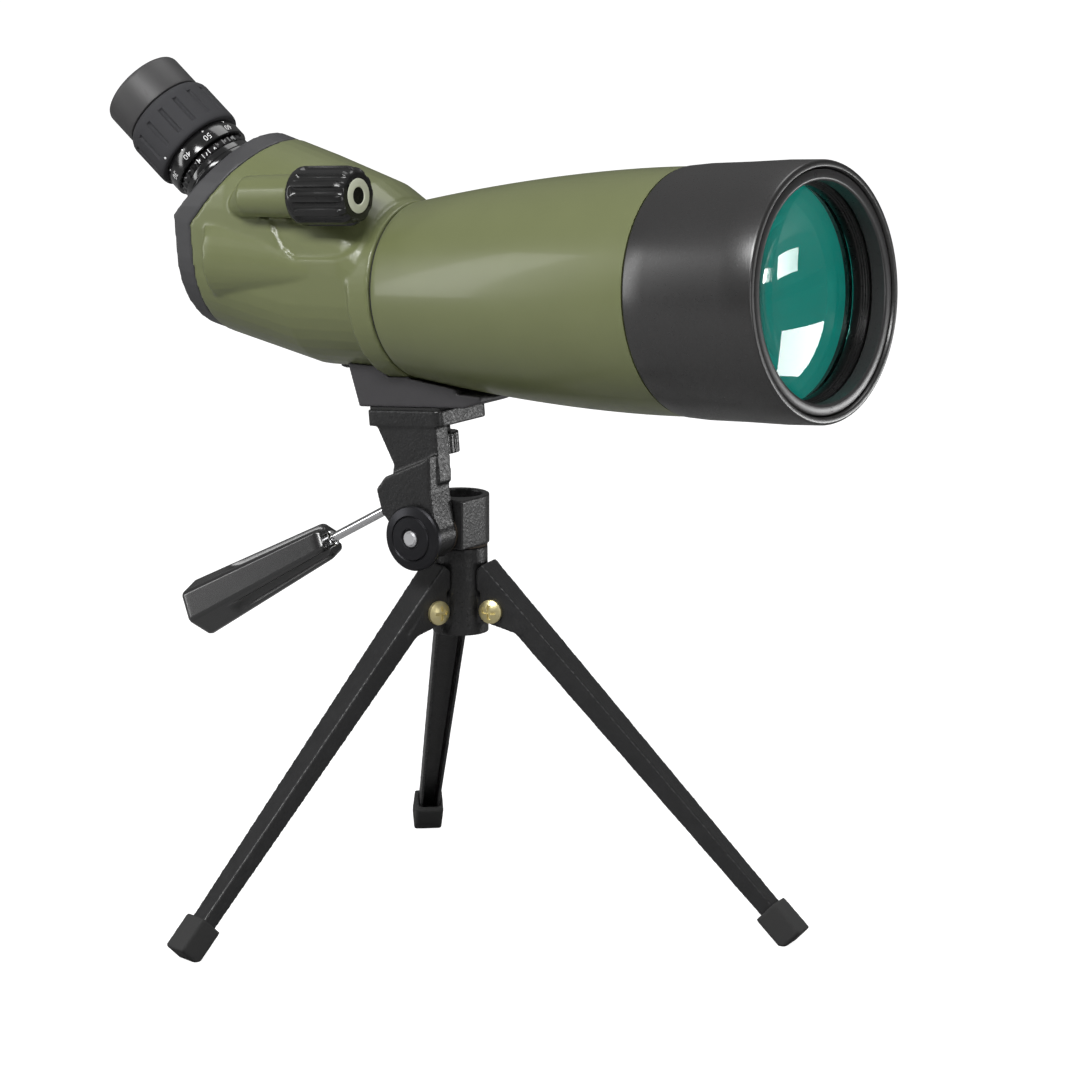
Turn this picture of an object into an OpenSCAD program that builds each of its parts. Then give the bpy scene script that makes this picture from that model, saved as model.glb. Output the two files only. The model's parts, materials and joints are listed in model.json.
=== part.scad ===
// Angled zoom spotting scope on a folding table-top tripod.
// Millimetres. +X is the way the objective looks, +Z is up, the feet stand on Z = 0.
// Scope pieces are drawn in the scope's own frame, whose X axis is the optical axis, then placed by aim().
// Eyepiece pieces are drawn about the eyepiece axis and placed by eye(). Leg pieces are placed by leg_at().

/* [Objective] */
// Outside diameter of the hood's front lip
hood_d = 80; // [60:0.5:100]
// Outside diameter of the hood where it meets the green tube
hood_rear_d = 77; // [56:0.5:96]
// Hood front face, measured forward from the scope origin
hood_front_x = 138; // [120:1:160]
// Hood rear edge
hood_rear_x = 90; // [70:1:110]
// Clear diameter of the objective
clear_d = 65; // [50:0.5:80]

/* [Main tube] */
// Outside diameter of the tube at its rear seam
seam_d = 55.6; // [45:0.2:70]
// Position of the rear seam
seam_x = -14; // [-30:1:0]
// Wall of the tube
tube_wall = 2.2; // [1.5:0.1:4]
// Curvature of the tapering flare
flare_power = 1.75; // [1:0.05:3]

/* [Prism housing] */
// Wall of the prism housing
case_wall = 3; // [2:0.1:5]
// Rear plane of the prism housing
case_rear_x = -93; // [-110:1:-80]
// Thickness of the rear cover band
cover_t = 7; // [4:0.5:10]

/* [Eyepiece] */
// Angle of the eyepiece above the optical axis
eye_angle = 43; // [30:1:60]
// Where the eyepiece axis meets the optical axis
eye_x = -52.2; // [-70:0.1:-40]
// Distance along the eyepiece axis of the sloping cover face
facet_s = 48; // [40:0.5:60]
// Outside diameter of the rubber eyecup
eyecup_d = 27.8; // [24:0.2:44]
// Outside diameter of the zoom grip
zoom_d = 30.4; // [26:0.2:46]

/* [Focus knob] */
// Outside diameter of the focus knob
knob_d = 18.8; // [14:0.2:26]
// Length of the focus knob
knob_len = 22.5; // [18:0.5:40]
// Sideways position of the knob axis
knob_y = -27; // [-30:0.5:-18]
// Height of the knob axis above the optical axis
knob_z = 33; // [26:0.5:40]

/* [Tripod head] */
// How far the scope is aimed up
tilt_up = 5.3; // [0:0.1:20]
// Height of the tilt axis above the ground
tilt_z = 125; // [110:0.5:150]
// Sideways offset of the scope from the pan axis
scope_y = -8; // [-14:0.5:0]
// Diameter of the tilt disc
disc_d = 20.8; // [14:0.2:30]
// Slope of the pan handle below the optical axis
handle_angle = 23.5; // [0:0.5:60]

/* [Legs] */
// Angle of a leg from the vertical
leg_angle = 43.4; // [20:0.1:60]
// How much further the first leg stands out, in degrees
leg_splay = 1.4; // [-3:0.1:3]
// Radius of the leg pivots
pivot_r = 13; // [10:0.5:20]
// Height of the leg pivots
pivot_z = 99.4; // [80:0.1:120]
// Heading of the first leg
leg_heading = 13; // [0:1:120]
// Width of the leg channel at the top
leg_w_top = 10.9; // [9:0.1:16]
// Width of the leg channel at the foot
leg_w_foot = 6.4; // [5:0.1:14]

/* [Hidden] */
// Tilt axis in the scope frame
tilt_ax = -12.9;
tilt_az = -76.4;
// Smallest gap between neighbouring pieces of one body
g = 0.05;
// Facets of round shapes
$fn = 64;
// Facets of the discs that hulls are drawn from
hf = 40;
big = 400;
hood_r = hood_d / 2;
clear_r = clear_d / 2;
seam_r = seam_d / 2;
tube_front_r = hood_rear_d / 2 - 0.3;
split_s = facet_s - cover_t;
split_x = case_rear_x + cover_t;
knob_rear_x = -38.3;
boss_front_x = -38.8;
screw_x = -14;
// Drop of the eyepiece into its socket
eye_drop = 2;
// Offsets that put the origin under the middle of the whole object
eye_world = eye_angle - tilt_up;
x_front = cos(tilt_up) * (hood_front_x - tilt_ax) - sin(tilt_up) * (0.7 - hood_r - tilt_az);
x_back = cos(tilt_up) * (eye_x - tilt_ax) + sin(tilt_up) * tilt_az
  - cos(eye_world) * 95 - sin(eye_world) * (eyecup_d / 2 - 0.3);
y_back = foot_r(1) * sin(leg_heading + 120) + 4 * abs(cos(leg_heading + 120));
y_front = foot_r(2) * sin(leg_heading + 240) - 4 * abs(cos(leg_heading + 240));
shift_x = -(x_front + x_back) / 2;
shift_y = -(y_front + y_back) / 2;

// Angle and length of leg k, and how far out its cap reaches
function leg_tilt(k) = leg_angle + (k == 0 ? leg_splay : -leg_splay / 2);
function leg_len(k) = (pivot_z + 0.6) / cos(leg_tilt(k));
function foot_r(k) = pivot_r + 7.8 * cos(leg_tilt(k)) + leg_len(k) * sin(leg_tilt(k));

// ---- placement ----

// Moves the whole object so that the origin is under its middle
module place() {
  translate([shift_x, shift_y, 0]) children();
}

// Scope frame to object frame
module aim() {
  place()
  translate([0, scope_y, tilt_z])
  rotate([0, -tilt_up, 0])
  translate([-tilt_ax, 0, -tilt_az])
  children();
}

// Eyepiece frame, Z along the eyepiece axis, to object frame
module eye() {
  aim() eye_local() children();
}

// The same frame for what slides into the socket
module eye_top() {
  eye() translate([0, 0, -eye_drop]) children();
}

module eye_local() {
  translate([eye_x, 0, 0]) rotate([0, eye_angle - 90, 0]) children();
}

// Focus knob frame, Z along +X on the knob axis, to object frame
module knob_at() {
  aim() knob_local() children();
}

module knob_local() {
  translate([0, knob_y, knob_z]) rotate([0, 90, 0]) children();
}

// Leg frame: pivot at the origin, Z up the leg, X away from the hub
module leg_at(k) {
  place()
  rotate([0, 0, leg_heading + 120 * k])
  translate([pivot_r, 0, pivot_z])
  rotate([0, -leg_tilt(k), 0])
  children();
}

// Handle frame: origin where the rod leaves the bracket, Z along the rod
module handle_local() {
  translate([-27.6, -10, -68.6]) rotate([0, -90 - handle_angle, 0]) children();
}

// ---- shared shapes ----

// Turned ring about Z from z0 to z1
module ring(r_out, r_in, z0, z1) {
  translate([0, 0, z0]) difference() {
    cylinder(r = r_out, h = z1 - z0);
    translate([0, 0, -1]) cylinder(r = r_in, h = z1 - z0 + 2);
  }
}

// The same about the X axis of the scope frame
module x_ring(r_out, r_in, x0, x1) {
  rotate([0, 90, 0]) ring(r_out, r_in, x0, x1);
}

// Disc about X, used as a hull section
module section(x, zc, r, n = hf) {
  translate([x, 0, zc]) rotate([0, 90, 0]) cylinder(r = r, h = 0.02, $fn = n);
}

// Tapering outer radius of the green tube
function flare(x) = tube_front_r - (tube_front_r - seam_r)
  * pow((hood_rear_x - x) / (hood_rear_x - seam_x), flare_power);

// Outline of the prism housing, d is an inset from the outer face
module case_hull(d) {
  hull() {
    section(-19 + d, 2, 27.2 - d);
    section(-27, 7.6, 27.2 - d);
    section(-50, 17, 26.2 - d);
    section(-50, 2.6, 26.2 - d);
    section(-72, 25, 25.5 - d);
    section(-72, 8.2, 25.5 - d);
    section(case_rear_x + d, 26, 25.2 - d);
    section(case_rear_x + d, 13.4, 25.2 - d);
  }
}

// Keeps what lies below the sloping plane s and ahead of the vertical plane x
module ahead_of(s, x) {
  intersection() {
    children();
    eye_local() translate([0, 0, s - big / 2]) cube([big, big, big], center = true);
    translate([x + big / 2, 0, 0]) cube([big, big, big], center = true);
  }
}

// Screw about Z, head on top with its underside at z = 0
module pan_head(r, h, drive_r) {
  difference() {
    intersection() {
      cylinder(r = r, h = h);
      translate([0, 0, h - r * 1.6]) sphere(r = r * 1.6);
    }
    translate([0, 0, h - 0.9]) cross_slot(drive_r, 1.2);
  }
}

module cross_slot(r, h) {
  translate([-r, -r * 0.22, 0]) cube([2 * r, r * 0.44, h]);
  translate([-r * 0.22, -r, 0]) cube([r * 0.44, 2 * r, h]);
}

// ---- objective end ----

// Black hood that screws over the front of the tube
module objective_hood() {
  color([0.03, 0.03, 0.035]) aim() rotate([0, 90, 0]) difference() {
    rotate_extrude() polygon([
      [36.4, hood_rear_x], [hood_rear_d / 2 - 0.4, hood_rear_x],
      [hood_rear_d / 2, hood_rear_x + 0.5], [hood_rear_d / 2 + 0.6, hood_rear_x + 8],
      [hood_rear_d / 2 + 0.95, hood_rear_x + 22], [hood_r, hood_front_x - 12],
      [hood_r, hood_front_x - 0.9], [hood_r - 0.2, hood_front_x - 0.3],
      [hood_r - 0.7, hood_front_x], [37.9, hood_front_x], [37.5, hood_front_x - 1],
      [37.5, 106], [36.4, 106]
    ]);
  }
}

// Ring screwed into the hood mouth, with two spanner holes
module front_trim_ring() {
  color([0.05, 0.05, 0.055]) aim() rotate([0, 90, 0]) difference() {
    rotate_extrude() polygon([
      [33.7, 136.9], [34.3, 137.3], [37.0, 137.3], [37.25, 137], [37.25, 131.6],
      [34.6, 131.6], [33.7, 132.4]
    ]);
    for (a = [0, 180]) rotate([0, 0, a]) translate([35.6, 0, 135.6]) cylinder(r = 0.6, h = 3, $fn = 24);
  }
}

// Threaded ring that clamps the objective lenses
module lens_retaining_ring() {
  color([0.03, 0.03, 0.03]) aim() x_ring(34.3, clear_r, 126.1, 129.2);
}

// Front element of the objective
module objective_crown_lens() {
  color([0.55, 0.85, 0.8, 0.4]) aim() intersection() {
    translate([116.5, 0, 0]) rotate([0, 90, 0]) cylinder(r = 34, h = 16);
    translate([129.6 - 150, 0, 0]) sphere(r = 150, $fn = 160);
    translate([118.2 + 190, 0, 0]) sphere(r = 190, $fn = 160);
  }
}

// Ring that spaces the two objective elements
module lens_spacer() {
  color([0.04, 0.04, 0.04]) aim() x_ring(34.2, 32.8, 118.0, 120.9);
}

// Rear element of the objective
module objective_flint_lens() {
  color([0.6, 0.85, 0.9, 0.4]) aim() difference() {
    translate([109.2, 0, 0]) rotate([0, 90, 0]) cylinder(r = 34, h = 8.7);
    translate([113 + 210, 0, 0]) sphere(r = 210, $fn = 160);
  }
}

// Cell that holds the objective in the hood
module objective_cell() {
  color([0.06, 0.06, 0.065]) aim() rotate([0, 90, 0]) rotate_extrude() polygon([
    [31.6, 106.6], [37.2, 106.6], [37.4, 106.8], [37.4, 131.4], [34.45, 131.4],
    [34.45, 109.1], [31.6, 109.1]
  ]);
}

// ---- tube ----

// Green flared tube between the prism housing and the hood
module main_tube() {
  n = 24;
  outer = [for (i = [0 : n]) let (x = seam_x + 0.8 + (hood_rear_x - 0.4 - seam_x - 0.8) * i / n) [flare(x), x]];
  inner = [for (i = [0 : n]) let (x = hood_rear_x - 6 - (hood_rear_x - 8.4 - seam_x) * i / n) [flare(x) - tube_wall, x]];
  color([0.33, 0.35, 0.22]) aim() rotate([0, 90, 0]) rotate_extrude() polygon(concat(
    [[seam_r - 0.6, seam_x + 0.2]], outer,
    [[36.35, hood_rear_x - 0.4], [36.35, 104], [34.2, 104], [34.2, hood_rear_x - 6]],
    inner,
    [[22.4, seam_x + 2.4], [22.4, -21.6], [24.3, -21.6], [24.3, seam_x + 0.2]]
  ));
}

// Two blackened stray-light stops inside the tube
module tube_baffles() {
  color([0.02, 0.02, 0.02]) aim() {
    x_ring(flare(24) - tube_wall - 0.2, 21, 23, 24);
    x_ring(flare(62) - tube_wall - 0.2, 27, 61, 62);
  }
}

// Rubber ring squeezed in the seam behind the tube
module seam_gasket() {
  color([0.02, 0.02, 0.02]) aim() x_ring(seam_r - 0.7, 24.4, seam_x - 0.65, seam_x + 0.1);
}

// ---- prism housing ----

// Fairing on the side of the housing, side is -1 or 1
module side_bulge(side) {
  hull() {
    translate([-79, side * 13.2, 13]) rotate([0, 90, 0]) cylinder(r = 16.4, h = 3, $fn = hf);
    translate([-55, side * 15.6, 11.5]) rotate([0, 90, 0]) cylinder(r = 12.6, h = 0.1, $fn = hf);
    translate([-26, side * 23.4, 7]) sphere(r = 2.6, $fn = 20);
  }
}

// Tapered boss that the focus knob runs on, e grows it
module focus_boss(e) {
  hull() {
    knob_local() translate([0, 0, boss_front_x - 1]) cylinder(r = 7 + e, h = 1, $fn = hf);
    knob_local() translate([0, 0, -59.6]) cylinder(r = 6.5 + e, h = 1, $fn = hf);
    translate([-72, -19, 28]) sphere(r = 3, $fn = 20);
  }
}

// Space over the sunk panel round the focus knob
module focus_panel() {
  difference() {
    hull() for (x = [-37.5, -8])
      translate([x, -17, 25]) rotate([52, 0, 0]) cylinder(r = 16.5, h = 30, $fn = 96);
    case_hull(0.9);
    focus_boss(0);
  }
}

// Green casting that carries the prisms, the focus drive and the foot
module prism_housing() {
  color([0.33, 0.35, 0.22]) aim() difference() {
    union() {
      difference() {
        union() {
          ahead_of(split_s, split_x) case_hull(0);
          side_bulge(-1);
          side_bulge(1);
        }
        focus_panel();
      }
      x_ring(28.1, 20, -23, seam_x - 0.7);
      focus_boss(0);
    }
    // hollow inside
    difference() {
      case_hull(case_wall);
      translate([-13, 0, 0]) rotate([0, 90, 0]) cylinder(r = 60, h = 10);
      knob_local() translate([0, 0, -42]) cylinder(r = 12.2, h = 30);
    }
    x_hole(24.45, -26, -10);
    // room for the knob, focus screw bore, bearing, seal seat and arm slot
    knob_local() translate([0, 0, boss_front_x]) cylinder(r = 9.9, h = 30);
    knob_local() translate([0, 0, -57.6]) cylinder(r = 5.1, h = 15.2);
    knob_local() translate([0, 0, -60.6]) cylinder(r = 2.06, h = 30);
    knob_local() translate([0, 0, boss_front_x - 1.3]) cylinder(r = 4.1, h = 3);
    translate([-57.6, knob_y, 26]) cube([15.2, 16, 6.4]);
    // screw holes for the foot and the prism tray
    for (s = [-1, 1]) translate([-28, s * 6.5, -32]) cylinder(r = 1.3, h = 12, $fn = 24);
    for (x = [-72, -46]) translate([x, 0, -32]) {
      cylinder(r = 1.3, h = 20, $fn = 24);
      cylinder(r = 3.1, h = 32 + tray_seat(x), $fn = 32);
    }
  }
}

// Height of the flat that a tray screw's head bears on
function tray_seat(x) = x < -60 ? -16.9 : -23.6;

// Round hole along X
module x_hole(r, x0, x1) {
  translate([x0, 0, 0]) rotate([0, 90, 0]) cylinder(r = r, h = x1 - x0);
}

// Dark cover that closes the back of the housing and carries the eyepiece
module rear_cover() {
  color([0.13, 0.13, 0.14]) aim() difference() {
    ahead_of(facet_s, case_rear_x - 5) case_hull(0.25);
    ahead_of(split_s + g, split_x - g) translate([-60, 0, 10]) cube([200, 200, 200], center = true);
    ahead_of(facet_s - 3, case_rear_x + 3) case_hull(case_wall);
    eye_local() translate([0, 0, 30]) cylinder(r = 11.55, h = 40);
    for (p = [[-20, 8], [20, 8], [-17, 24], [17, 24], [0, -6]])
      translate([case_rear_x - 1, p[0] * 0.95, p[1]]) rotate([0, 90, 0]) cylinder(r = 1.6, h = 6, $fn = 24);
  }
}

// Small screws in the back of the cover
module cover_screws() {
  color([0.1, 0.1, 0.1]) aim()
  for (p = [[-20, 8], [20, 8], [-17, 24], [17, 24], [0, -6]])
    translate([case_rear_x + 0.2, p[0] * 0.95, p[1]]) rotate([0, -90, 0]) union() {
      pan_head(2.6, 1.4, 1.5);
      translate([0, 0, -3.4]) cylinder(r = 1.5, h = 3.5, $fn = 24);
    }
}

// Glass block that turns the light up into the eyepiece and rights the picture
module erecting_prism() {
  color([0.7, 0.85, 0.9, 0.4]) aim() translate([0, 11.5, 0]) rotate([90, 0, 0]) linear_extrude(23)
    polygon([[-38.6, -11], [-38.6, 11], [-62, 24], [-77, 8], [-64, -11]]);
}

// Bent metal tray the prism is cemented into
module prism_tray() {
  color([0.35, 0.35, 0.36]) aim() difference() {
    union() {
      translate([-78, -13.4, -12.6]) cube([42, 26.8, 1.5]);
      for (s = [-1, 1]) translate([-76, s * 12.6 - 0.8, -12]) cube([38, 1.6, 18]);
      translate([-38, -19.5, -12.6]) cube([1.8, 39, 23.6]);
      for (x = [-72, -46]) translate([x, 0, -22]) cylinder(r = 3, h = 10.5);
    }
    x_hole(10.4, -39, -30);
    translate([-39, 15.5, 6]) rotate([0, 90, 0]) cylinder(r = 1.5, h = 4);
    for (x = [-72, -46]) translate([x, 0, -32]) cylinder(r = 1.2, h = 22, $fn = 24);
    case_hull_outside();
  }
}

// What lies outside the inner face of the housing
module case_hull_outside() {
  difference() {
    translate([-55, 0, 10]) cube([120, 120, 120], center = true);
    case_hull(case_wall + 0.1);
  }
}

// Screws that hold the tray from below the housing
module tray_screws() {
  color([0.5, 0.5, 0.5]) aim() for (x = [-72, -46])
    translate([x, 0, tray_seat(x) - g]) rotate([180, 0, 0]) union() {
      pan_head(2.6, 1.5, 1.5);
      translate([0, 0, -6.2]) cylinder(r = 1.1, h = 6.3, $fn = 24);
    }
}

// ---- focusing ----

// Rod that the focusing carriage slides on
module focus_guide_rod() {
  color([0.7, 0.7, 0.7]) aim() translate([-38, 15.5, 6]) rotate([0, 90, 0]) cylinder(r = 1.45, h = 21);
}

// Carriage driven along the axis by the focus screw
module focus_carriage() {
  color([0.45, 0.4, 0.25]) aim() difference() {
    union() {
      x_ring(13.2, 11.2, -30, -24);
      translate([-30, 11.5, 3]) cube([6, 5.5, 6]);
      translate([-27, 15.5, 6]) rotate([0, 90, 0]) cylinder(r = 2.9, h = 6, center = true);
      translate([-52, -15.6, 12.6]) cube([28, 2.4, 3]);
      translate([-30, -15.6, 6]) cube([6, 4, 9.6]);
      hull() {
        translate([-52, -15.6, 12.6]) cube([4, 2.4, 3]);
        translate([-52, -18.5, 26.8]) cube([4, 2.4, 4.8]);
      }
      translate([-52, knob_y, 26.8]) cube([4, 10, 4.8]);
      knob_local() translate([0, 0, -52]) cylinder(r = 4.2, h = 4);
    }
    knob_local() translate([0, 0, -70]) cylinder(r = 2.07, h = 40);
    translate([-27, 15.5, 6]) rotate([0, 90, 0]) cylinder(r = 1.52, h = 20, center = true);
    x_hole(11.2, -31, -23);
  }
}

// Lens carried by the focusing carriage
module focusing_lens() {
  color([0.6, 0.8, 0.85, 0.4]) aim() difference() {
    translate([-29.5, 0, 0]) rotate([0, 90, 0]) cylinder(r = 11.15, h = 5);
    translate([-27 - 62.6, 0, 0]) sphere(r = 60.5, $fn = 96);
    translate([-27 + 62.6, 0, 0]) sphere(r = 60.5, $fn = 96);
  }
}

// Black fluted focus knob
module focus_knob() {
  color([0.02, 0.02, 0.02]) knob_at() difference() {
    translate([0, 0, knob_rear_x]) rotate_extrude() polygon([
      [0, 0], [knob_d / 2 - 1.2, 0], [knob_d / 2 - 0.2, 1], [knob_d / 2, 3],
      [knob_d / 2, knob_len - 4], [knob_d / 2 - 0.7, knob_len - 1.4],
      [knob_d / 2 - 2.2, knob_len], [0, knob_len]
    ]);
    for (i = [0 : 11]) rotate([0, 0, i * 30 + 15])
      translate([knob_d / 2 + 0.55, 0, knob_rear_x + 3]) cylinder(r = 1.7, h = knob_len, $fn = 24);
    translate([0, 0, knob_rear_x + knob_len - 0.8]) cylinder(r = 5.65, h = 2);
    translate([0, 0, knob_rear_x - 1]) cylinder(r = 2.03, h = knob_len - 6);
  }
}

// Plain cream disc with a dark centre in the end of the knob
module focus_knob_cap() {
  color([0.8, 0.83, 0.7]) knob_at() translate([0, 0, knob_rear_x + knob_len - 0.75]) difference() {
    cylinder(r = 5.6, h = 1);
    translate([0, 0, 0.6]) cylinder(r = 2.6, h = 1);
  }
}

// Screwed spindle turned by the knob
module focus_shaft() {
  color([0.7, 0.7, 0.7]) knob_at() union() {
    translate([0, 0, -60.4]) cylinder(r = 2, h = 36.4);
  }
}

// Rubber ring round the spindle
module shaft_seal() {
  color([0.02, 0.02, 0.02]) knob_at() ring(4.05, 2.12, boss_front_x - 1.2, boss_front_x - 0.1);
}

// ---- eyepiece ----

// Flange that joins the eyepiece to the rear cover
module eyepiece_socket() {
  color([0.02, 0.02, 0.02]) eye() rotate_extrude() polygon([
    [9.62, 42], [11.45, 42], [11.45, facet_s + 0.05], [13.4, facet_s + 0.05],
    [13.4, 53.5], [12.9, 54], [12.9, 56], [9.62, 56]
  ]);
}

// Knurled ring that locks the eyepiece in its socket
module socket_lock_ring() {
  color([0.03, 0.03, 0.03]) eye_top() difference() {
    ring(12.9, 9.75, 58.1, 61);
    for (i = [0 : 29]) rotate([0, 0, i * 12]) translate([13.1, 0, 58.6]) cylinder(r = 0.45, h = 1.9, $fn = 12);
  }
}

// Fixed inner tube of the eyepiece with a guide slot
module eyepiece_barrel() {
  color([0.02, 0.02, 0.02]) eye_top() difference() {
    ring(9.55, 8.4, 44, 88.6);
    translate([0, -1.1, 70.8]) cube([20, 2.2, 10]);
  }
}

// Glossy black band with the power scale
module scale_ring() {
  color([0.015, 0.015, 0.015]) eye_top() rotate_extrude() polygon([
    [9.75, 61.15], [13.6, 61.15], [13.8, 61.4], [13.8, 66.6], [13.6, 66.9], [9.75, 66.9]
  ]);
}

// Metal sleeve of the zoom ring
module zoom_sleeve() {
  color([0.08, 0.08, 0.08]) eye_top() difference() {
    ring(13.2, 9.62, 67.15, 84.9);
    ring(10.2, 5, 70.6, 81);
  }
}

// Rubber grip of the zoom ring, with rounded slots
module zoom_grip() {
  color([0.06, 0.06, 0.06]) eye_top() difference() {
    rotate_extrude() polygon([
      [13.25, 67.3], [14.6, 67.3], [15.0, 67.7], [zoom_d / 2, 69], [zoom_d / 2, 82],
      [14.8, 83.6], [13.9, 84.8], [13.25, 84.8]
    ]);
    for (i = [0 : 15]) rotate([0, 0, i * 22.5 + 8]) translate([zoom_d / 2 + 0.5, 0, 0]) {
      translate([0, 0, 70.6]) cylinder(r = 1.0, h = 9.8, $fn = 20);
      translate([0, 0, 70.6]) sphere(r = 1.0, $fn = 20);
      translate([0, 0, 80.4]) sphere(r = 1.0, $fn = 20);
    }
  }
}

// Moving lens cell of the zoom, with its cam pin
module zoom_cell() {
  color([0.1, 0.1, 0.1]) eye_top() union() {
    ring(8.33, 6.6, 69, 76);
    translate([7.5, 0, 72.5]) rotate([0, 90, 0]) cylinder(r = 1.05, h = 2.4);
  }
}

// Lens in the moving cell
module zoom_lens() {
  color([0.6, 0.8, 0.85, 0.4]) eye_top() intersection() {
    translate([0, 0, 69]) cylinder(r = 6.55, h = 7);
    translate([0, 0, 75 - 40]) sphere(r = 40, $fn = 80);
    translate([0, 0, 70 + 40]) sphere(r = 40, $fn = 80);
  }
}

// Lens at the bottom of the eyepiece
module field_lens() {
  color([0.6, 0.8, 0.85, 0.4]) eye_top() intersection() {
    translate([0, 0, 46]) cylinder(r = 8.35, h = 6);
    translate([0, 0, 51 - 36]) sphere(r = 36, $fn = 80);
  }
}

// Lens nearest the eye
module eye_lens() {
  color([0.6, 0.8, 0.85, 0.4]) eye_top() intersection() {
    translate([0, 0, 82.6]) cylinder(r = 8.35, h = 5);
    translate([0, 0, 87.4 - 30]) sphere(r = 30, $fn = 80);
    translate([0, 0, 83 + 60]) sphere(r = 60, $fn = 96);
  }
}

// Ring that holds the eye lens
module eye_lens_ring() {
  color([0.03, 0.03, 0.03]) eye_top() ring(8.35, 7, 86.9, 88.4);
}

// Soft rubber eyecup that folds back for spectacles
module eyecup() {
  r = eyecup_d / 2;
  color([0.07, 0.07, 0.07]) eye_top() rotate_extrude() polygon([
    [9.6, 85.1], [r - 0.7, 85.1], [r - 0.15, 85.7], [r, 86.6], [r, 96],
    [r - 0.3, 97], [r - 1.1, 97.6], [r - 1.9, 97.2], [r - 2.1, 95],
    [11.3, 89.6], [10.4, 88.8], [9.6, 88.8]
  ]);
}

// ---- foot and tripod head ----

// Dark foot under the housing, leaning like a ship's keel
module mounting_foot() {
  color([0.12, 0.12, 0.13]) aim() difference() {
    translate([0, 10.8, 0]) rotate([90, 0, 0]) linear_extrude(21.6)
      polygon([[-35, -35.9], [6.4, -35.9], [13, -34], [13, -32], [4, -31.5], [1.6, -26], [-40, -15]]);
    case_hull(-0.05);
    x_hole(28.15, -23.4, seam_x - 0.3);
    rotate([0, 90, 0]) translate([0, 0, seam_x - 0.4]) cylinder(r1 = 28.6, r2 = 34.2, h = 34);
    translate([screw_x, 0, -37]) cylinder(r = 4.8, h = 7.4);
    for (s = [-1, 1]) translate([-28, s * 6.5, -37]) {
      cylinder(r = 1.6, h = 20, $fn = 24);
      cylinder(r = 2.9, h = 4, $fn = 32);
    }
  }
}

// Brass insert with the tripod thread
module thread_insert() {
  color([0.75, 0.6, 0.3]) aim() translate([screw_x, 0, 0]) ring(4.75, 3.2, -35.8, -29.8);
}

// Screws that hold the foot to the housing
module foot_screws() {
  color([0.5, 0.5, 0.5]) aim() for (s = [-1, 1])
    translate([-28, s * 6.5, -33.1]) rotate([180, 0, 0]) union() {
      pan_head(2.7, 1.9, 1.6);
      translate([0, 0, -10]) cylinder(r = 1.25, h = 10.1, $fn = 24);
    }
}

// Flat plate with rounded corners
module rounded_plate(x0, x1, y0, y1, z0, z1, r) {
  translate([0, 0, z0]) linear_extrude(z1 - z0) difference() {
    translate([x0, y0]) square([x1 - x0, y1 - y0]);
    for (c = [[x0, y0, 1, 1], [x1, y0, -1, 1], [x0, y1, 1, -1], [x1, y1, -1, -1]])
      translate([c[0], c[1]]) difference() {
        translate([c[2] * r / 2, c[3] * r / 2]) square([r + 0.002, r + 0.002], center = true);
        translate([c[2] * r, c[3] * r]) circle(r = r, $fn = 32);
      }
  }
}

// Casting with the platform, the tilt arm and the handle boss
module tilt_bracket() {
  color([0.05, 0.05, 0.05]) aim() difference() {
    union() {
      rounded_plate(-32.2, -3, -11.5, 14, -42, -36.8, 2.5);
      translate([0, -4.5, 0]) rotate([90, 0, 0]) linear_extrude(6.5)
        polygon([[-29.4, -40], [-5.2, -40], [-5.2, -60], [-24, -60], [-23, -54]]);
      translate([0, -4.5, 0]) rotate([90, 0, 0]) linear_extrude(10.8)
        polygon([[-5.4, -50.5], [-6.2, -62], [-5.2, -76.4], [-20, -76.4], [-25, -69.8],
          [-25.8, -69.4], [-27.4, -61.4], [-23.6, -57.4], [-9, -52.4]]);
      translate([tilt_ax, -4.5, tilt_az]) rotate([90, 0, 0]) cylinder(r = 7.9, h = 10.8);
    }
    translate([tilt_ax, 0, tilt_az]) rotate([90, 0, 0]) cylinder(r = 2.55, h = 40, center = true);
    translate([screw_x, 0, -45]) cylinder(r = 3.3, h = 12);
    translate([screw_x, 0, -52.4]) cylinder(r = 7.9, h = 10.4);
    handle_local() translate([0, 0, -9]) cylinder(r = 1.55, h = 20);
  }
}

// Thin grippy pad between the platform and the foot
module platform_pad() {
  color([0.03, 0.03, 0.03]) aim() difference() {
    rounded_plate(-31.6, -3.6, -10.9, 13.4, -36.75, -35.95, 2);
    translate([screw_x, 0, -38]) cylinder(r = 3.6, h = 4);
  }
}

// Knurled screw that clamps the scope to the platform
module camera_screw() {
  color([0.05, 0.05, 0.05]) aim() translate([screw_x, 0, 0]) difference() {
    union() {
      translate([0, 0, -51.8]) cylinder(r = 7.4, h = 6.6);
      translate([0, 0, -45.4]) cylinder(r = 5, h = 2.1);
      translate([0, 0, -45]) cylinder(r = 3.12, h = 14.6);
    }
    for (i = [0 : 23]) rotate([0, 0, i * 15]) translate([7.6, 0, -52.4]) cylinder(r = 0.5, h = 8, $fn = 12);
    translate([-6, -0.7, -52.4]) cube([12, 1.4, 1.8]);
  }
}

// Clip that keeps the camera screw in the platform
module screw_clip() {
  color([0.6, 0.6, 0.6]) aim() translate([screw_x, 0, 0]) difference() {
    ring(5, 3.2, -43.15, -42.55);
    translate([0, -1.6, -44]) cube([6, 3.2, 2]);
  }
}

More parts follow.
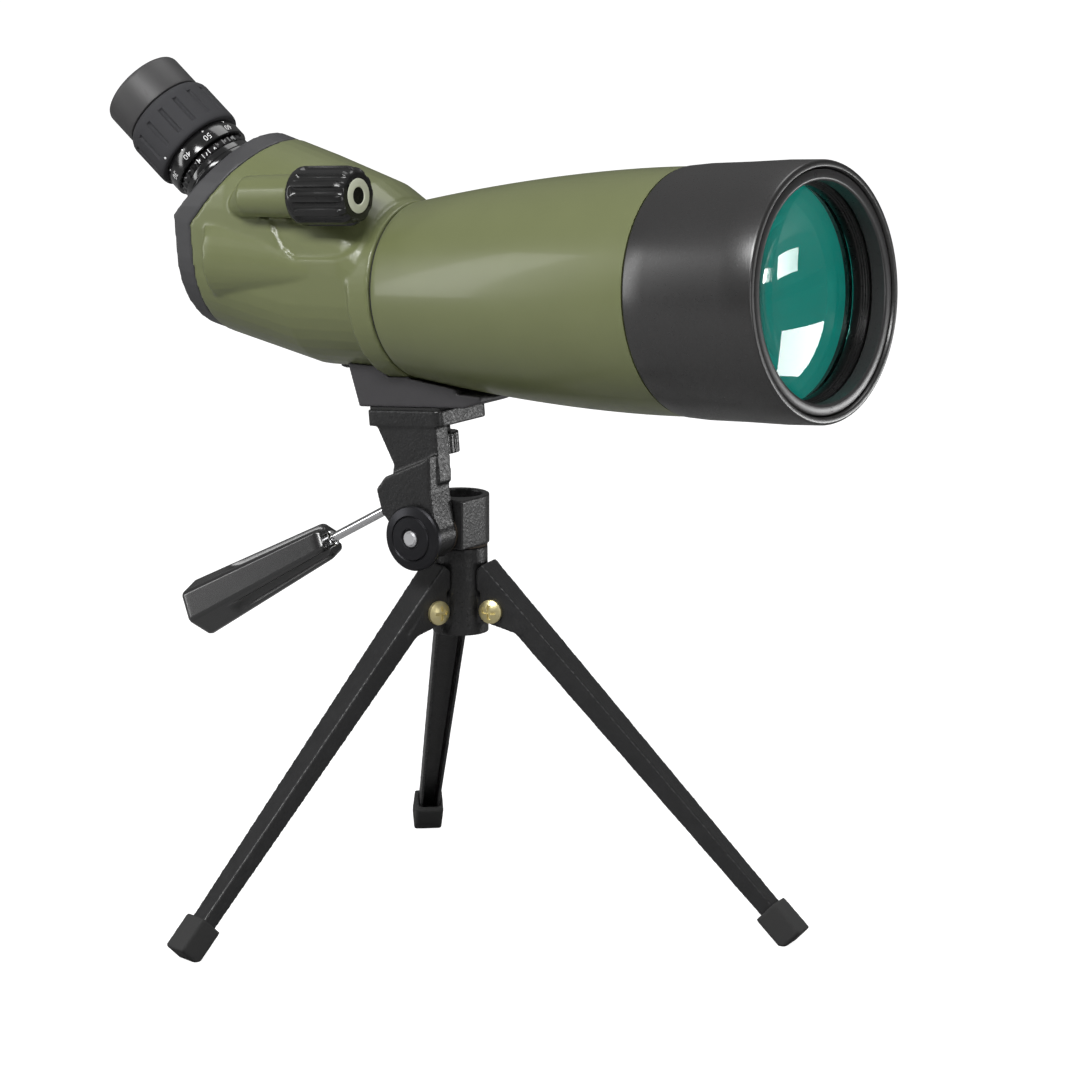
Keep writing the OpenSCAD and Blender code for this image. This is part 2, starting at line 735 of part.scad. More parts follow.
// Round disc under the tilt bolt
module tilt_disc() {
  color([0.07, 0.07, 0.075]) aim() translate([tilt_ax, -15.35, tilt_az]) rotate([90, 0, 0]) difference() {
    rotate_extrude() polygon([
      [2.6, 0], [disc_d / 2 - 0.3, 0], [disc_d / 2, 0.4], [disc_d / 2, 1.7],
      [disc_d / 2 - 0.5, 2.2], [7.4, 2.9], [7.1, 2.6], [6.7, 3.1], [3.4, 3.3], [3, 2.7], [2.6, 2.7]
    ]);
  }
}

// Bolt the head tilts on
module tilt_bolt() {
  color([0.75, 0.75, 0.76]) aim() translate([tilt_ax, 0, tilt_az]) rotate([90, 0, 0]) union() {
    translate([0, 0, -3.6]) cylinder(r = 2.5, h = 22);
    translate([0, 0, 18.2]) cylinder(r1 = 2.5, r2 = 1.9, h = 0.7);
  }
}

// Fibre washer between the tilt arm and the column
module tilt_washer() {
  color([0.15, 0.12, 0.1]) place() translate([0, -11.45, tilt_z]) rotate([90, 0, 0]) ring(7.4, 2.7, 0, 0.75);
}

// Chromed rod of the pan handle
module handle_rod() {
  color([0.8, 0.8, 0.82]) aim() handle_local() union() {
    translate([0, 0, -7]) cylinder(r = 1.5, h = 40);
    translate([0, 0, 24.4]) cylinder(r = 2.6, h = 2.4);
  }
}

// Faceted plastic grip of the pan handle
module handle_grip() {
  color([0.02, 0.02, 0.02]) aim() handle_local() translate([0, 0, 26]) difference() {
    rotate([0, 0, 10]) linear_extrude(height = 60.5, scale = 1.6) grip_outline();
    translate([0, 0, -1]) cylinder(r = 1.53, h = 10);
    translate([0, 0, -1]) cylinder(r = 2.9, h = 3);
    for (i = [0 : 2]) rotate([0, 0, 10 + 120 * i]) hull() {
      translate([6.6, 0, -1]) sphere(r = 2.3, $fn = 24);
      translate([9.2, 0, 44]) sphere(r = 2.0, $fn = 24);
    }
  }
}

// Six-sided outline with alternate long and short sides
module grip_outline() {
  polygon([for (i = [0 : 5]) let (a = 60 * i + (i % 2 == 0 ? 14 : -14)) [5.9 * cos(a), 5.9 * sin(a)]]);
}

// ---- tripod ----

// Turning column with the seat for the tilt arm
module pan_column() {
  color([0.05, 0.05, 0.05]) place() difference() {
    union() {
      translate([0, 0, 119.85]) cylinder(r = 9.2, h = 15.8);
      translate([-9.2, -11.4, 119.85]) cube([18.4, 11.4, 15.8]);
    }
    translate([0, 0, 129.6]) cylinder(r = 6.9, h = 8);
    translate([0, 0, 118]) cylinder(r = 2.58, h = 14);
    translate([0, -3.3, tilt_z]) rotate([90, 0, 0]) cylinder(r = 2.57, h = 12);
  }
}

// Bright screw the head pans on
module pan_screw() {
  color([0.8, 0.8, 0.8]) place() union() {
    translate([0, 0, 129.7]) pan_head(4.6, 2.6, 3);
    translate([0, 0, 106]) cylinder(r = 2.5, h = 24);
  }
}

// Friction washer under the column
module pan_washer() {
  color([0.15, 0.12, 0.1]) place() ring(8.6, 2.7, 119.1, 119.75);
}

// Casting that the legs hinge on
module tripod_hub() {
  color([0.05, 0.05, 0.05]) place() difference() {
    union() {
      translate([0, 0, 91]) cylinder(r1 = 8.9, r2 = 8.6, h = 28.05);
      for (k = [0 : 2]) rotate([0, 0, leg_heading + 120 * k]) {
        translate([0, -4.05, pivot_z - 4]) cube([pivot_r, 8.1, 8]);
        translate([pivot_r, 0, pivot_z]) rotate([90, 0, 0]) cylinder(r = 4, h = 8.1, center = true);
      }
    }
    translate([0, 0, 104]) cylinder(r = 2.55, h = 30);
    translate([0, 0, 90]) cylinder(r = 6, h = 10);
    for (k = [0 : 2]) rotate([0, 0, leg_heading + 120 * k])
      translate([pivot_r, 0, pivot_z]) rotate([90, 0, 0]) cylinder(r = 2.05, h = 20, center = true);
  }
}

// Solid envelope of the channel of leg k, e grows it
module leg_envelope(k, e) {
  hull() {
    translate([0.9 - e, -leg_w_top / 2 - e, 12.6]) cube([7.2 + 2 * e, leg_w_top + 2 * e, 0.2]);
    translate([0.9 - e, -leg_w_foot / 2 - e, 6.6 - leg_len(k)]) cube([5.2 + 2 * e, leg_w_foot + 2 * e, 0.2]);
  }
}

// Folded steel leg with ears for the pivot screw
module leg_channel(k) {
  color([0.06, 0.06, 0.06]) difference() {
    leg_at(k) leg_blank(k);
    place() translate([0, 0, 85]) cylinder(r = 9.2, h = 40);
  }
}

module leg_blank(k) {
  difference() {
    union() {
      leg_envelope(k, 0);
      hull() {
        rotate([90, 0, 0]) cylinder(r = 4.4, h = leg_w_top - 0.2, center = true, $fn = 32);
        translate([2, -leg_w_top / 2 + 0.1, -12]) cube([2, leg_w_top - 0.2, 20]);
      }
    }
    hull() {
      translate([-6, -leg_w_top / 2 + 1, 15]) cube([13.1, leg_w_top - 2, 0.2]);
      translate([-6, -leg_w_foot / 2 + 1, 5.6 - leg_len(k)]) cube([11.1, leg_w_foot - 2, 0.2]);
    }
    rotate([90, 0, 0]) cylinder(r = 2.06, h = 20, center = true);
  }
}

module front_leg() {
  leg_channel(2);
}

module back_leg() {
  leg_channel(1);
}

module side_leg() {
  leg_channel(0);
}

// Rubber cap on the end of a leg, cut flat where it stands
module foot_cap(k) {
  color([0.05, 0.05, 0.05]) difference() {
    leg_at(k) difference() {
      hull() {
        translate([-0.6, -4.6, 0.8 - leg_len(k)]) cube([8.2, 9.2, 11.8]);
        translate([-1, -4, -leg_len(k)]) cube([8.8, 8, 11.8]);
      }
      leg_envelope(k, 0.06);
    }
    translate([0, 0, -20]) cube([big, big, 40], center = true);
  }
}

module front_foot_cap() {
  foot_cap(2);
}

module back_foot_cap() {
  foot_cap(1);
}

module side_foot_cap() {
  foot_cap(0);
}

// Zinc-plated screws of the three leg pivots
module leg_screws() {
  color([0.85, 0.75, 0.4]) for (k = [0 : 2]) place()
    rotate([0, 0, leg_heading + 120 * k]) translate([pivot_r, 0, pivot_z])
    rotate([k == 2 ? -90 : 90, 0, 0]) union() {
      translate([0, 0, leg_w_top / 2 + 0.1]) pan_head(3.8, 2.5, 2.3);
      translate([0, 0, -leg_w_top / 2 - 3.4]) cylinder(r = 2, h = leg_w_top + 3.6);
    }
}

// Nuts on the leg pivot screws
module leg_nuts() {
  color([0.85, 0.75, 0.4]) for (k = [0 : 2]) place()
    rotate([0, 0, leg_heading + 120 * k]) translate([pivot_r, 0, pivot_z])
    rotate([k == 2 ? -90 : 90, 0, 0]) translate([0, 0, -leg_w_top / 2 - 2.9]) difference() {
      cylinder(r = 4, h = 2.8, $fn = 6);
      translate([0, 0, -1]) cylinder(r = 2.02, h = 5);
    }
}

objective_hood();
front_trim_ring();
lens_retaining_ring();
objective_crown_lens();
lens_spacer();
objective_flint_lens();
objective_cell();
main_tube();
tube_baffles();
seam_gasket();
prism_housing();
rear_cover();
cover_screws();
erecting_prism();
prism_tray();
tray_screws();
focus_guide_rod();
focus_carriage();
focusing_lens();
focus_knob();
focus_knob_cap();
focus_shaft();
shaft_seal();
eyepiece_socket();
socket_lock_ring();
eyepiece_barrel();
scale_ring();
zoom_sleeve();
zoom_grip();
zoom_cell();
zoom_lens();
field_lens();
eye_lens();
eye_lens_ring();
eyecup();
mounting_foot();
thread_insert();
foot_screws();
tilt_bracket();
platform_pad();
camera_screw();
screw_clip();
tilt_disc();
tilt_bolt();
tilt_washer();
handle_rod();
handle_grip();
pan_column();
pan_screw();
pan_washer();
tripod_hub();
front_leg();
back_leg();
side_leg();
front_foot_cap();
back_foot_cap();
side_foot_cap();
leg_screws();
leg_nuts();
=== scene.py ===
"""Builds the looks of an angled zoom spotting scope on a folding table-top tripod."""

import json
import logging
import math
from dataclasses import dataclass
from enum import Enum
from typing import Callable, Iterable, Optional, Sequence

import bmesh
import bpy
from mathutils import Matrix, Vector

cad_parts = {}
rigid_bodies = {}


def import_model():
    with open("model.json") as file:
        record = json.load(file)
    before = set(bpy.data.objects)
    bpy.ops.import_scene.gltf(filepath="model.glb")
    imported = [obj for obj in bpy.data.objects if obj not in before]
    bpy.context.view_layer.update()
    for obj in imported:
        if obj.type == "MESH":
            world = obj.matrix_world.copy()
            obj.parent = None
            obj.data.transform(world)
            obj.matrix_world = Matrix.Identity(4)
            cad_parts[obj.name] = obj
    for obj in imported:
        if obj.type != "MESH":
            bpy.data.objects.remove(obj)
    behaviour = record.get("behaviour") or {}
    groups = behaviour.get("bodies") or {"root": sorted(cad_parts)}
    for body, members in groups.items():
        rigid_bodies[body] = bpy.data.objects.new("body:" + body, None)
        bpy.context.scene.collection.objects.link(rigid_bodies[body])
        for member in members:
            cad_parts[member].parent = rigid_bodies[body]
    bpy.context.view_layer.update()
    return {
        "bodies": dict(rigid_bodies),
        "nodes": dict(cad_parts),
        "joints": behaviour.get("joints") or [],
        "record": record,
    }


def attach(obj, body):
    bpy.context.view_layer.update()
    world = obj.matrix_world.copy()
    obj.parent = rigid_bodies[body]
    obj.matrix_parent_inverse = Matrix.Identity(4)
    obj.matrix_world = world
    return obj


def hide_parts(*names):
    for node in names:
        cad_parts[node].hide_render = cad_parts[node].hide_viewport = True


LOG = logging.getLogger("spotting_scope")
MM = 0.001
COAT_ROUGHNESS = 0.08
FULL_TURN = 2 * math.pi
Colour = tuple[float, float, float]
Profile = Sequence[tuple[float, float]]
Outline = Sequence[tuple[float, float, float]]


# ---------------------------------------------------------------- finishes


class Texture(Enum):
    """The surface texture that a finish carries."""

    SMOOTH = "smooth"
    FINE = "fine"
    WRINKLE = "wrinkle"
    TURNED = "turned"
    ORANGE_PEEL = "orange_peel"


def socket_group(name: str, inputs: dict[str, float], outputs: Sequence[str]) -> bpy.types.NodeTree:
    """Starts an empty shader node group with float inputs.

    Args:
        name: The group's name.
        inputs: Each input's name and default value.
        outputs: Names of the float outputs.

    Returns:
        The new node tree, with its group input and output nodes in it.
    """
    tree = bpy.data.node_groups.new(name, "ShaderNodeTree")
    for key, value in inputs.items():
        socket = tree.interface.new_socket(key, in_out="INPUT", socket_type="NodeSocketFloat")
        socket.default_value = value
    for key in outputs:
        tree.interface.new_socket(key, in_out="OUTPUT", socket_type="NodeSocketFloat")
    tree.nodes.new("NodeGroupInput").name = "In"
    tree.nodes.new("NodeGroupOutput").name = "Out"
    return tree


class Effects:
    """Shader node groups that several finishes share, each built once."""

    _made: dict[str, bpy.types.NodeTree] = {}

    @classmethod
    def get(cls, name: str) -> bpy.types.NodeTree:
        """Returns the group called name, building it the first time.

        Args:
            name: One of mottle, relief or turning.

        Returns:
            The node group.
        """
        if name not in cls._made:
            cls._made[name] = {"mottle": cls._mottle, "relief": cls._relief, "turning": cls._turning}[name]()
        return cls._made[name]

    @staticmethod
    def _noise(tree: bpy.types.NodeTree, scale: float, detail: float, roughness: float) -> bpy.types.Node:
        """Adds a noise texture on object coordinates."""
        coord = tree.nodes.new("ShaderNodeTexCoord")
        node = tree.nodes.new("ShaderNodeTexNoise")
        node.inputs["Scale"].default_value = scale
        node.inputs["Detail"].default_value = detail
        node.inputs["Roughness"].default_value = roughness
        tree.links.new(coord.outputs["Object"], node.inputs["Vector"])
        return node

    @classmethod
    def _mottle(cls) -> bpy.types.NodeTree:
        """Soft cloudiness and fine handling marks, as two masks from 0 to 1."""
        tree = socket_group("handling_mottle", {"Scale": 60.0, "Mark Scale": 900.0}, ["Cloud", "Marks"])
        source, out = tree.nodes["In"], tree.nodes["Out"]
        cloud = cls._noise(tree, 60.0, 3.0, 0.55)
        tree.links.new(source.outputs["Scale"], cloud.inputs["Scale"])
        tree.links.new(cloud.outputs["Fac"], out.inputs["Cloud"])
        marks = cls._noise(tree, 900.0, 5.0, 0.7)
        tree.links.new(source.outputs["Mark Scale"], marks.inputs["Scale"])
        spread = tree.nodes.new("ShaderNodeMapRange")
        spread.inputs["From Min"].default_value = 0.35
        spread.inputs["From Max"].default_value = 0.7
        tree.links.new(marks.outputs["Fac"], spread.inputs["Value"])
        tree.links.new(spread.outputs["Result"], out.inputs["Marks"])
        return tree

    @classmethod
    def _relief(cls) -> bpy.types.NodeTree:
        """Raised texture of paint and moulded plastic, as a height from 0 to 1."""
        tree = socket_group("paint_relief", {"Scale": 900.0, "Vein": 0.5}, ["Height"])
        source, out = tree.nodes["In"], tree.nodes["Out"]
        grain = cls._noise(tree, 900.0, 3.0, 0.6)
        tree.links.new(source.outputs["Scale"], grain.inputs["Scale"])
        coord = tree.nodes.new("ShaderNodeTexCoord")
        warp = tree.nodes.new("ShaderNodeVectorMath")
        warp.operation = "MULTIPLY_ADD"
        warp.inputs[1].default_value = (0.0012, 0.0012, 0.0012)
        tree.links.new(grain.outputs["Color"], warp.inputs[0])
        tree.links.new(coord.outputs["Object"], warp.inputs[2])
        veins = tree.nodes.new("ShaderNodeTexVoronoi")
        veins.feature = "SMOOTH_F1"
        veins.inputs["Smoothness"].default_value = 0.6
        tree.links.new(source.outputs["Scale"], veins.inputs["Scale"])
        tree.links.new(warp.outputs["Vector"], veins.inputs["Vector"])
        blend = tree.nodes.new("ShaderNodeMix")
        tree.links.new(source.outputs["Vein"], blend.inputs["Factor"])
        tree.links.new(grain.outputs["Fac"], blend.inputs["A"])
        tree.links.new(veins.outputs["Distance"], blend.inputs["B"])
        tree.links.new(blend.outputs["Result"], out.inputs["Height"])
        return tree

    @classmethod
    def _turning(cls) -> bpy.types.NodeTree:
        """Fine streaks of a lathe or a polishing belt, as a height from 0 to 1."""
        tree = socket_group("turning_streaks", {"Scale": 500.0}, ["Height"])
        source, out = tree.nodes["In"], tree.nodes["Out"]
        coord = tree.nodes.new("ShaderNodeTexCoord")
        stretch = tree.nodes.new("ShaderNodeMapping")
        stretch.inputs["Scale"].default_value = (1.0, 1.0, 9.0)
        tree.links.new(coord.outputs["Object"], stretch.inputs["Vector"])
        noise = tree.nodes.new("ShaderNodeTexNoise")
        noise.inputs["Detail"].default_value = 3.0
        tree.links.new(source.outputs["Scale"], noise.inputs["Scale"])
        tree.links.new(stretch.outputs["Vector"], noise.inputs["Vector"])
        tree.links.new(noise.outputs["Fac"], out.inputs["Height"])
        return tree


@dataclass(frozen=True)
class Finish:
    """One opaque finish: its colours, gloss and surface texture.

    Colours are linear. `tint` is the colour that the base drifts to in the cloudiness.
    """

    name: str
    base: Colour
    tint: Colour
    roughness: float
    rough_span: float = 0.08
    metallic: float = 0.0
    coat: float = 0.0
    texture: Texture = Texture.FINE
    relief_scale: float = 900.0
    relief_depth: float = 0.00003
    vein: float = 0.2
    cloud_scale: float = 60.0
    specular: float = 0.5

    def material(self) -> bpy.types.Material:
        """Builds the finish's material the first time, and returns it after that."""
        known = bpy.data.materials.get(self.name)
        if known is not None:
            return known
        mat = bpy.data.materials.new(self.name)
        mat.use_nodes = True
        tree = mat.node_tree
        shader = tree.nodes["Principled BSDF"]
        shader.inputs["Metallic"].default_value = self.metallic
        shader.inputs["Coat Weight"].default_value = self.coat
        shader.inputs["Coat Roughness"].default_value = COAT_ROUGHNESS
        shader.inputs["Specular IOR Level"].default_value = self.specular
        mottle = tree.nodes.new("ShaderNodeGroup")
        mottle.node_tree = Effects.get("mottle")
        mottle.inputs["Scale"].default_value = self.cloud_scale
        mottle.inputs["Mark Scale"].default_value = self.relief_scale * 0.7
        paint = tree.nodes.new("ShaderNodeMix")
        paint.data_type = "RGBA"
        paint.inputs["A"].default_value = (*self.base, 1.0)
        paint.inputs["B"].default_value = (*self.tint, 1.0)
        tree.links.new(mottle.outputs["Cloud"], paint.inputs["Factor"])
        tree.links.new(paint.outputs["Result"], shader.inputs["Base Color"])
        gloss = tree.nodes.new("ShaderNodeMapRange")
        gloss.inputs["To Min"].default_value = max(0.02, self.roughness - self.rough_span / 2)
        gloss.inputs["To Max"].default_value = min(1.0, self.roughness + self.rough_span / 2)
        tree.links.new(mottle.outputs["Marks"], gloss.inputs["Value"])
        tree.links.new(gloss.outputs["Result"], shader.inputs["Roughness"])
        if self.texture is not Texture.SMOOTH:
            self._add_relief(tree, shader)
        return mat

    def _add_relief(self, tree: bpy.types.NodeTree, shader: bpy.types.Node) -> None:
        """Feeds the texture's height to the shader's normal.

        Args:
            tree: The material's node tree.
            shader: Its Principled BSDF.
        """
        turned = self.texture is Texture.TURNED
        relief = tree.nodes.new("ShaderNodeGroup")
        relief.node_tree = Effects.get("turning" if turned else "relief")
        relief.inputs["Scale"].default_value = self.relief_scale
        if not turned:
            relief.inputs["Vein"].default_value = self.vein
        bump = tree.nodes.new("ShaderNodeBump")
        bump.inputs["Strength"].default_value = 1.0
        bump.inputs["Distance"].default_value = self.relief_depth
        tree.links.new(relief.outputs["Height"], bump.inputs["Height"])
        tree.links.new(bump.outputs["Normal"], shader.inputs["Normal"])


@dataclass(frozen=True)
class LensFinish:
    """Optical glass: clear, or with the coloured return of its coating, which can also be painted on as an
    emission glow that the glass, being no lamp, doesn't give.
    """

    name: str
    base: Colour
    roughness: float = 0.01
    transmission: float = 1.0
    ior: float = 1.52
    metallic: float = 0.0
    # Emission strength of the lens colour: a painted glow, light that the glass doesn't give off.
    painted_glow: float = 0.0

    def material(self) -> bpy.types.Material:
        """Builds the glass's material the first time, and returns it after that."""
        known = bpy.data.materials.get(self.name)
        if known is not None:
            return known
        mat = bpy.data.materials.new(self.name)
        mat.use_nodes = True
        tree = mat.node_tree
        shader = tree.nodes["Principled BSDF"]
        shader.inputs["Metallic"].default_value = self.metallic
        shader.inputs["Transmission Weight"].default_value = self.transmission
        shader.inputs["IOR"].default_value = self.ior
        # Emission strength of the painted glow.
        shader.inputs["Emission Strength"].default_value = self.painted_glow
        mottle = tree.nodes.new("ShaderNodeGroup")
        mottle.node_tree = Effects.get("mottle")
        mottle.inputs["Scale"].default_value = 14.0
        mottle.inputs["Mark Scale"].default_value = 300.0
        drift = tree.nodes.new("ShaderNodeMix")
        drift.data_type = "RGBA"
        drift.inputs["A"].default_value = (*self.base, 1.0)
        drift.inputs["B"].default_value = (*[min(1.0, c * 1.12) for c in self.base], 1.0)
        tree.links.new(mottle.outputs["Cloud"], drift.inputs["Factor"])
        tree.links.new(drift.outputs["Result"], shader.inputs["Base Color"])
        # Paints the lens colour on as emission: painted light, not a lamp.
        if self.painted_glow:
            tree.links.new(drift.outputs["Result"], shader.inputs["Emission Color"])
        gloss = tree.nodes.new("ShaderNodeMapRange")
        gloss.inputs["To Min"].default_value = self.roughness
        gloss.inputs["To Max"].default_value = self.roughness + 0.012
        tree.links.new(mottle.outputs["Marks"], gloss.inputs["Value"])
        tree.links.new(gloss.outputs["Result"], shader.inputs["Roughness"])
        return mat


OLIVE = Finish("olive_satin_coat", (0.152, 0.17, 0.074), (0.17, 0.19, 0.085), 0.33, 0.06,
               coat=0.16, texture=Texture.ORANGE_PEEL, relief_scale=1400.0, relief_depth=0.000012, vein=0.1)
HOOD_BLACK = Finish("satin_hood_black", (0.02, 0.0195, 0.0195), (0.026, 0.025, 0.025), 0.3, 0.06,
                    relief_scale=2600.0, relief_depth=0.000006, specular=0.9)
INNER_BLACK = Finish("blackened_metal", (0.014, 0.0138, 0.014), (0.02, 0.02, 0.02), 0.3, 0.08, metallic=0.3,
                     texture=Texture.TURNED, relief_scale=700.0, relief_depth=0.000006)
RIM_BLACK = Finish("rim_black", (0.045, 0.044, 0.045), (0.055, 0.054, 0.055), 0.3, 0.06,
                   relief_scale=2400.0, relief_depth=0.000005)
COVER_GREY = Finish("cover_grey", (0.05, 0.05, 0.053), (0.062, 0.062, 0.065), 0.48, 0.08,
                    relief_scale=2200.0, relief_depth=0.00001)
FOOT_GREY = Finish("foot_grey", (0.042, 0.04, 0.043), (0.05, 0.048, 0.052), 0.5, 0.08,
                   relief_scale=2200.0, relief_depth=0.00001)
GLOSS_BLACK = Finish("gloss_black", (0.006, 0.006, 0.0063), (0.009, 0.009, 0.0095), 0.16, 0.05, coat=0.5,
                     relief_scale=1800.0, relief_depth=0.000002)
GRIP_GLOSS = Finish("grip_gloss_black", (0.014, 0.014, 0.0145), (0.019, 0.019, 0.0195), 0.24, 0.04, coat=0.6,
                    texture=Texture.SMOOTH, specular=0.8)
KNOB_BLACK = Finish("knob_black", (0.008, 0.008, 0.0085), (0.012, 0.012, 0.0125), 0.22, 0.07, coat=0.4,
                    relief_scale=2400.0, relief_depth=0.000004)
GRIP_RUBBER = Finish("grip_rubber", (0.058, 0.057, 0.058), (0.075, 0.074, 0.075), 0.55, 0.12,
                     relief_scale=2600.0, relief_depth=0.000012, cloud_scale=120.0)
CUP_RUBBER = Finish("cup_rubber", (0.052, 0.051, 0.052), (0.064, 0.063, 0.064), 0.5, 0.1,
                    relief_scale=2600.0, relief_depth=0.00001, cloud_scale=120.0)
SOFT_RUBBER = Finish("soft_rubber", (0.012, 0.012, 0.012), (0.02, 0.02, 0.02), 0.6, 0.1,
                     relief_scale=2000.0, relief_depth=0.00001)
WRINKLE = Finish("wrinkle_black", (0.011, 0.011, 0.0113), (0.022, 0.022, 0.0225), 0.36, 0.2,
                 texture=Texture.WRINKLE, relief_scale=1100.0, relief_depth=0.00012, vein=0.6,
                 cloud_scale=200.0)
LEG_PAINT = Finish("leg_paint", (0.012, 0.012, 0.0125), (0.026, 0.026, 0.027), 0.38, 0.2,
                   texture=Texture.WRINKLE, relief_scale=1300.0, relief_depth=0.00007, vein=0.4,
                   cloud_scale=160.0)
FOOT_RUBBER = Finish("foot_rubber", (0.02, 0.02, 0.021), (0.04, 0.04, 0.041), 0.5, 0.14,
                     relief_scale=1500.0, relief_depth=0.00003, cloud_scale=200.0)
DISC_BLACK = Finish("disc_black", (0.028, 0.028, 0.029), (0.035, 0.035, 0.036), 0.42, 0.08,
                    relief_scale=2200.0, relief_depth=0.000008)
CHROME = Finish("polished_chrome", (0.82, 0.82, 0.84), (0.86, 0.86, 0.87), 0.07, 0.05, metallic=1.0,
                texture=Texture.TURNED, relief_scale=500.0, relief_depth=0.000002)
ZINC = Finish("bright_zinc", (0.8, 0.8, 0.81), (0.9, 0.9, 0.9), 0.2, 0.08, metallic=1.0,
              texture=Texture.TURNED, relief_scale=600.0, relief_depth=0.000006)
YELLOW_ZINC = Finish("yellow_zinc", (0.98, 0.87, 0.5), (1.0, 0.98, 0.88), 0.16, 0.1, metallic=1.0,
                     texture=Texture.TURNED, relief_scale=700.0, relief_depth=0.000008, cloud_scale=420.0)
STEEL = Finish("plain_steel", (0.55, 0.55, 0.56), (0.62, 0.62, 0.63), 0.3, 0.1, metallic=1.0,
               texture=Texture.TURNED, relief_scale=600.0, relief_depth=0.000006)
DARK_STEEL = Finish("dark_steel", (0.05, 0.05, 0.052), (0.07, 0.07, 0.072), 0.35, 0.1, metallic=0.8,
                    texture=Texture.TURNED, relief_scale=700.0, relief_depth=0.000006)
BRASS = Finish("turned_brass", (0.62, 0.44, 0.17), (0.7, 0.52, 0.22), 0.28, 0.1, metallic=1.0,
               texture=Texture.TURNED, relief_scale=600.0, relief_depth=0.000006)
FIBRE = Finish("pressed_fibre", (0.06, 0.045, 0.032), (0.1, 0.075, 0.055), 0.8, 0.1,
               relief_scale=1200.0, relief_depth=0.00003)
CREAM = Finish("cream_inlay", (0.66, 0.72, 0.5), (0.74, 0.78, 0.6), 0.3, 0.08,
               relief_scale=1800.0, relief_depth=0.000004, cloud_scale=300.0)
WHITE_MARK = Finish("white_marking", (0.78, 0.78, 0.78), (0.86, 0.86, 0.86), 0.45, 0.06,
                    relief_scale=1800.0, relief_depth=0.000003)
CLEAR_GLASS = LensFinish("clear_glass", (0.93, 0.98, 0.96))
FRONT_GLASS = LensFinish("front_glass", (0.9, 1.0, 0.96), 0.004)
# The rear element is opaque teal for its coating, and its emission of 0.5 is a painted glow: light the lens
# doesn't give.
DEEP_GLASS = LensFinish("coated_deep_glass_painted_glow", (0.002, 0.27, 0.225), 0.2, 0.0, 1.6, 0.35, painted_glow=0.5)

NODE_FINISHES: dict[str, object] = {
    "objective_hood": HOOD_BLACK, "front_trim_ring": RIM_BLACK, "lens_retaining_ring": INNER_BLACK,
    "objective_crown_lens": FRONT_GLASS, "lens_spacer": INNER_BLACK, "objective_flint_lens": DEEP_GLASS,
    "objective_cell": INNER_BLACK, "main_tube": OLIVE, "tube_baffles": INNER_BLACK,
    "seam_gasket": SOFT_RUBBER,
    "prism_housing": OLIVE, "rear_cover": COVER_GREY, "cover_screws": DARK_STEEL,
    "erecting_prism": CLEAR_GLASS,
    "prism_tray": STEEL, "tray_screws": DARK_STEEL, "focus_guide_rod": STEEL, "focus_carriage": BRASS,
    "focusing_lens": CLEAR_GLASS, "focus_knob": KNOB_BLACK, "focus_knob_cap": CREAM, "focus_shaft": STEEL,
    "shaft_seal": SOFT_RUBBER, "eyepiece_socket": GLOSS_BLACK, "socket_lock_ring": GLOSS_BLACK,
    "eyepiece_barrel": INNER_BLACK, "scale_ring": GLOSS_BLACK, "zoom_sleeve": INNER_BLACK,
    "zoom_grip": GRIP_RUBBER, "zoom_cell": INNER_BLACK, "zoom_lens": CLEAR_GLASS, "field_lens": CLEAR_GLASS,
    "eye_lens": FRONT_GLASS, "eye_lens_ring": INNER_BLACK, "eyecup": CUP_RUBBER, "mounting_foot": FOOT_GREY,
    "thread_insert": BRASS, "foot_screws": DARK_STEEL, "tilt_bracket": WRINKLE, "platform_pad": SOFT_RUBBER,
    "camera_screw": KNOB_BLACK, "screw_clip": STEEL, "tilt_disc": DISC_BLACK, "tilt_bolt": ZINC,
    "tilt_washer": FIBRE, "handle_rod": CHROME, "handle_grip": GRIP_GLOSS, "pan_column": WRINKLE,
    "pan_screw": ZINC, "pan_washer": FIBRE, "tripod_hub": WRINKLE, "front_leg": LEG_PAINT,
    "back_leg": LEG_PAINT, "side_leg": LEG_PAINT, "front_foot_cap": FOOT_RUBBER, "back_foot_cap": FOOT_RUBBER,
    "side_foot_cap": FOOT_RUBBER, "leg_screws": YELLOW_ZINC, "leg_nuts": YELLOW_ZINC,
}


# ---------------------------------------------------------------- places


def placed_axes(origin: Vector, x: Vector, y: Vector, z: Vector) -> Matrix:
    """Makes the matrix that takes local millimetres to the model's metres.

    Args:
        origin: The local origin, in metres.
        x: Local X direction.
        y: Local Y direction.
        z: Local Z direction.

    Returns:
        The 4 by 4 matrix.
    """
    rot = Matrix((x, y, z)).transposed().to_4x4()
    return Matrix.Translation(origin) @ rot @ Matrix.Scale(MM, 4)


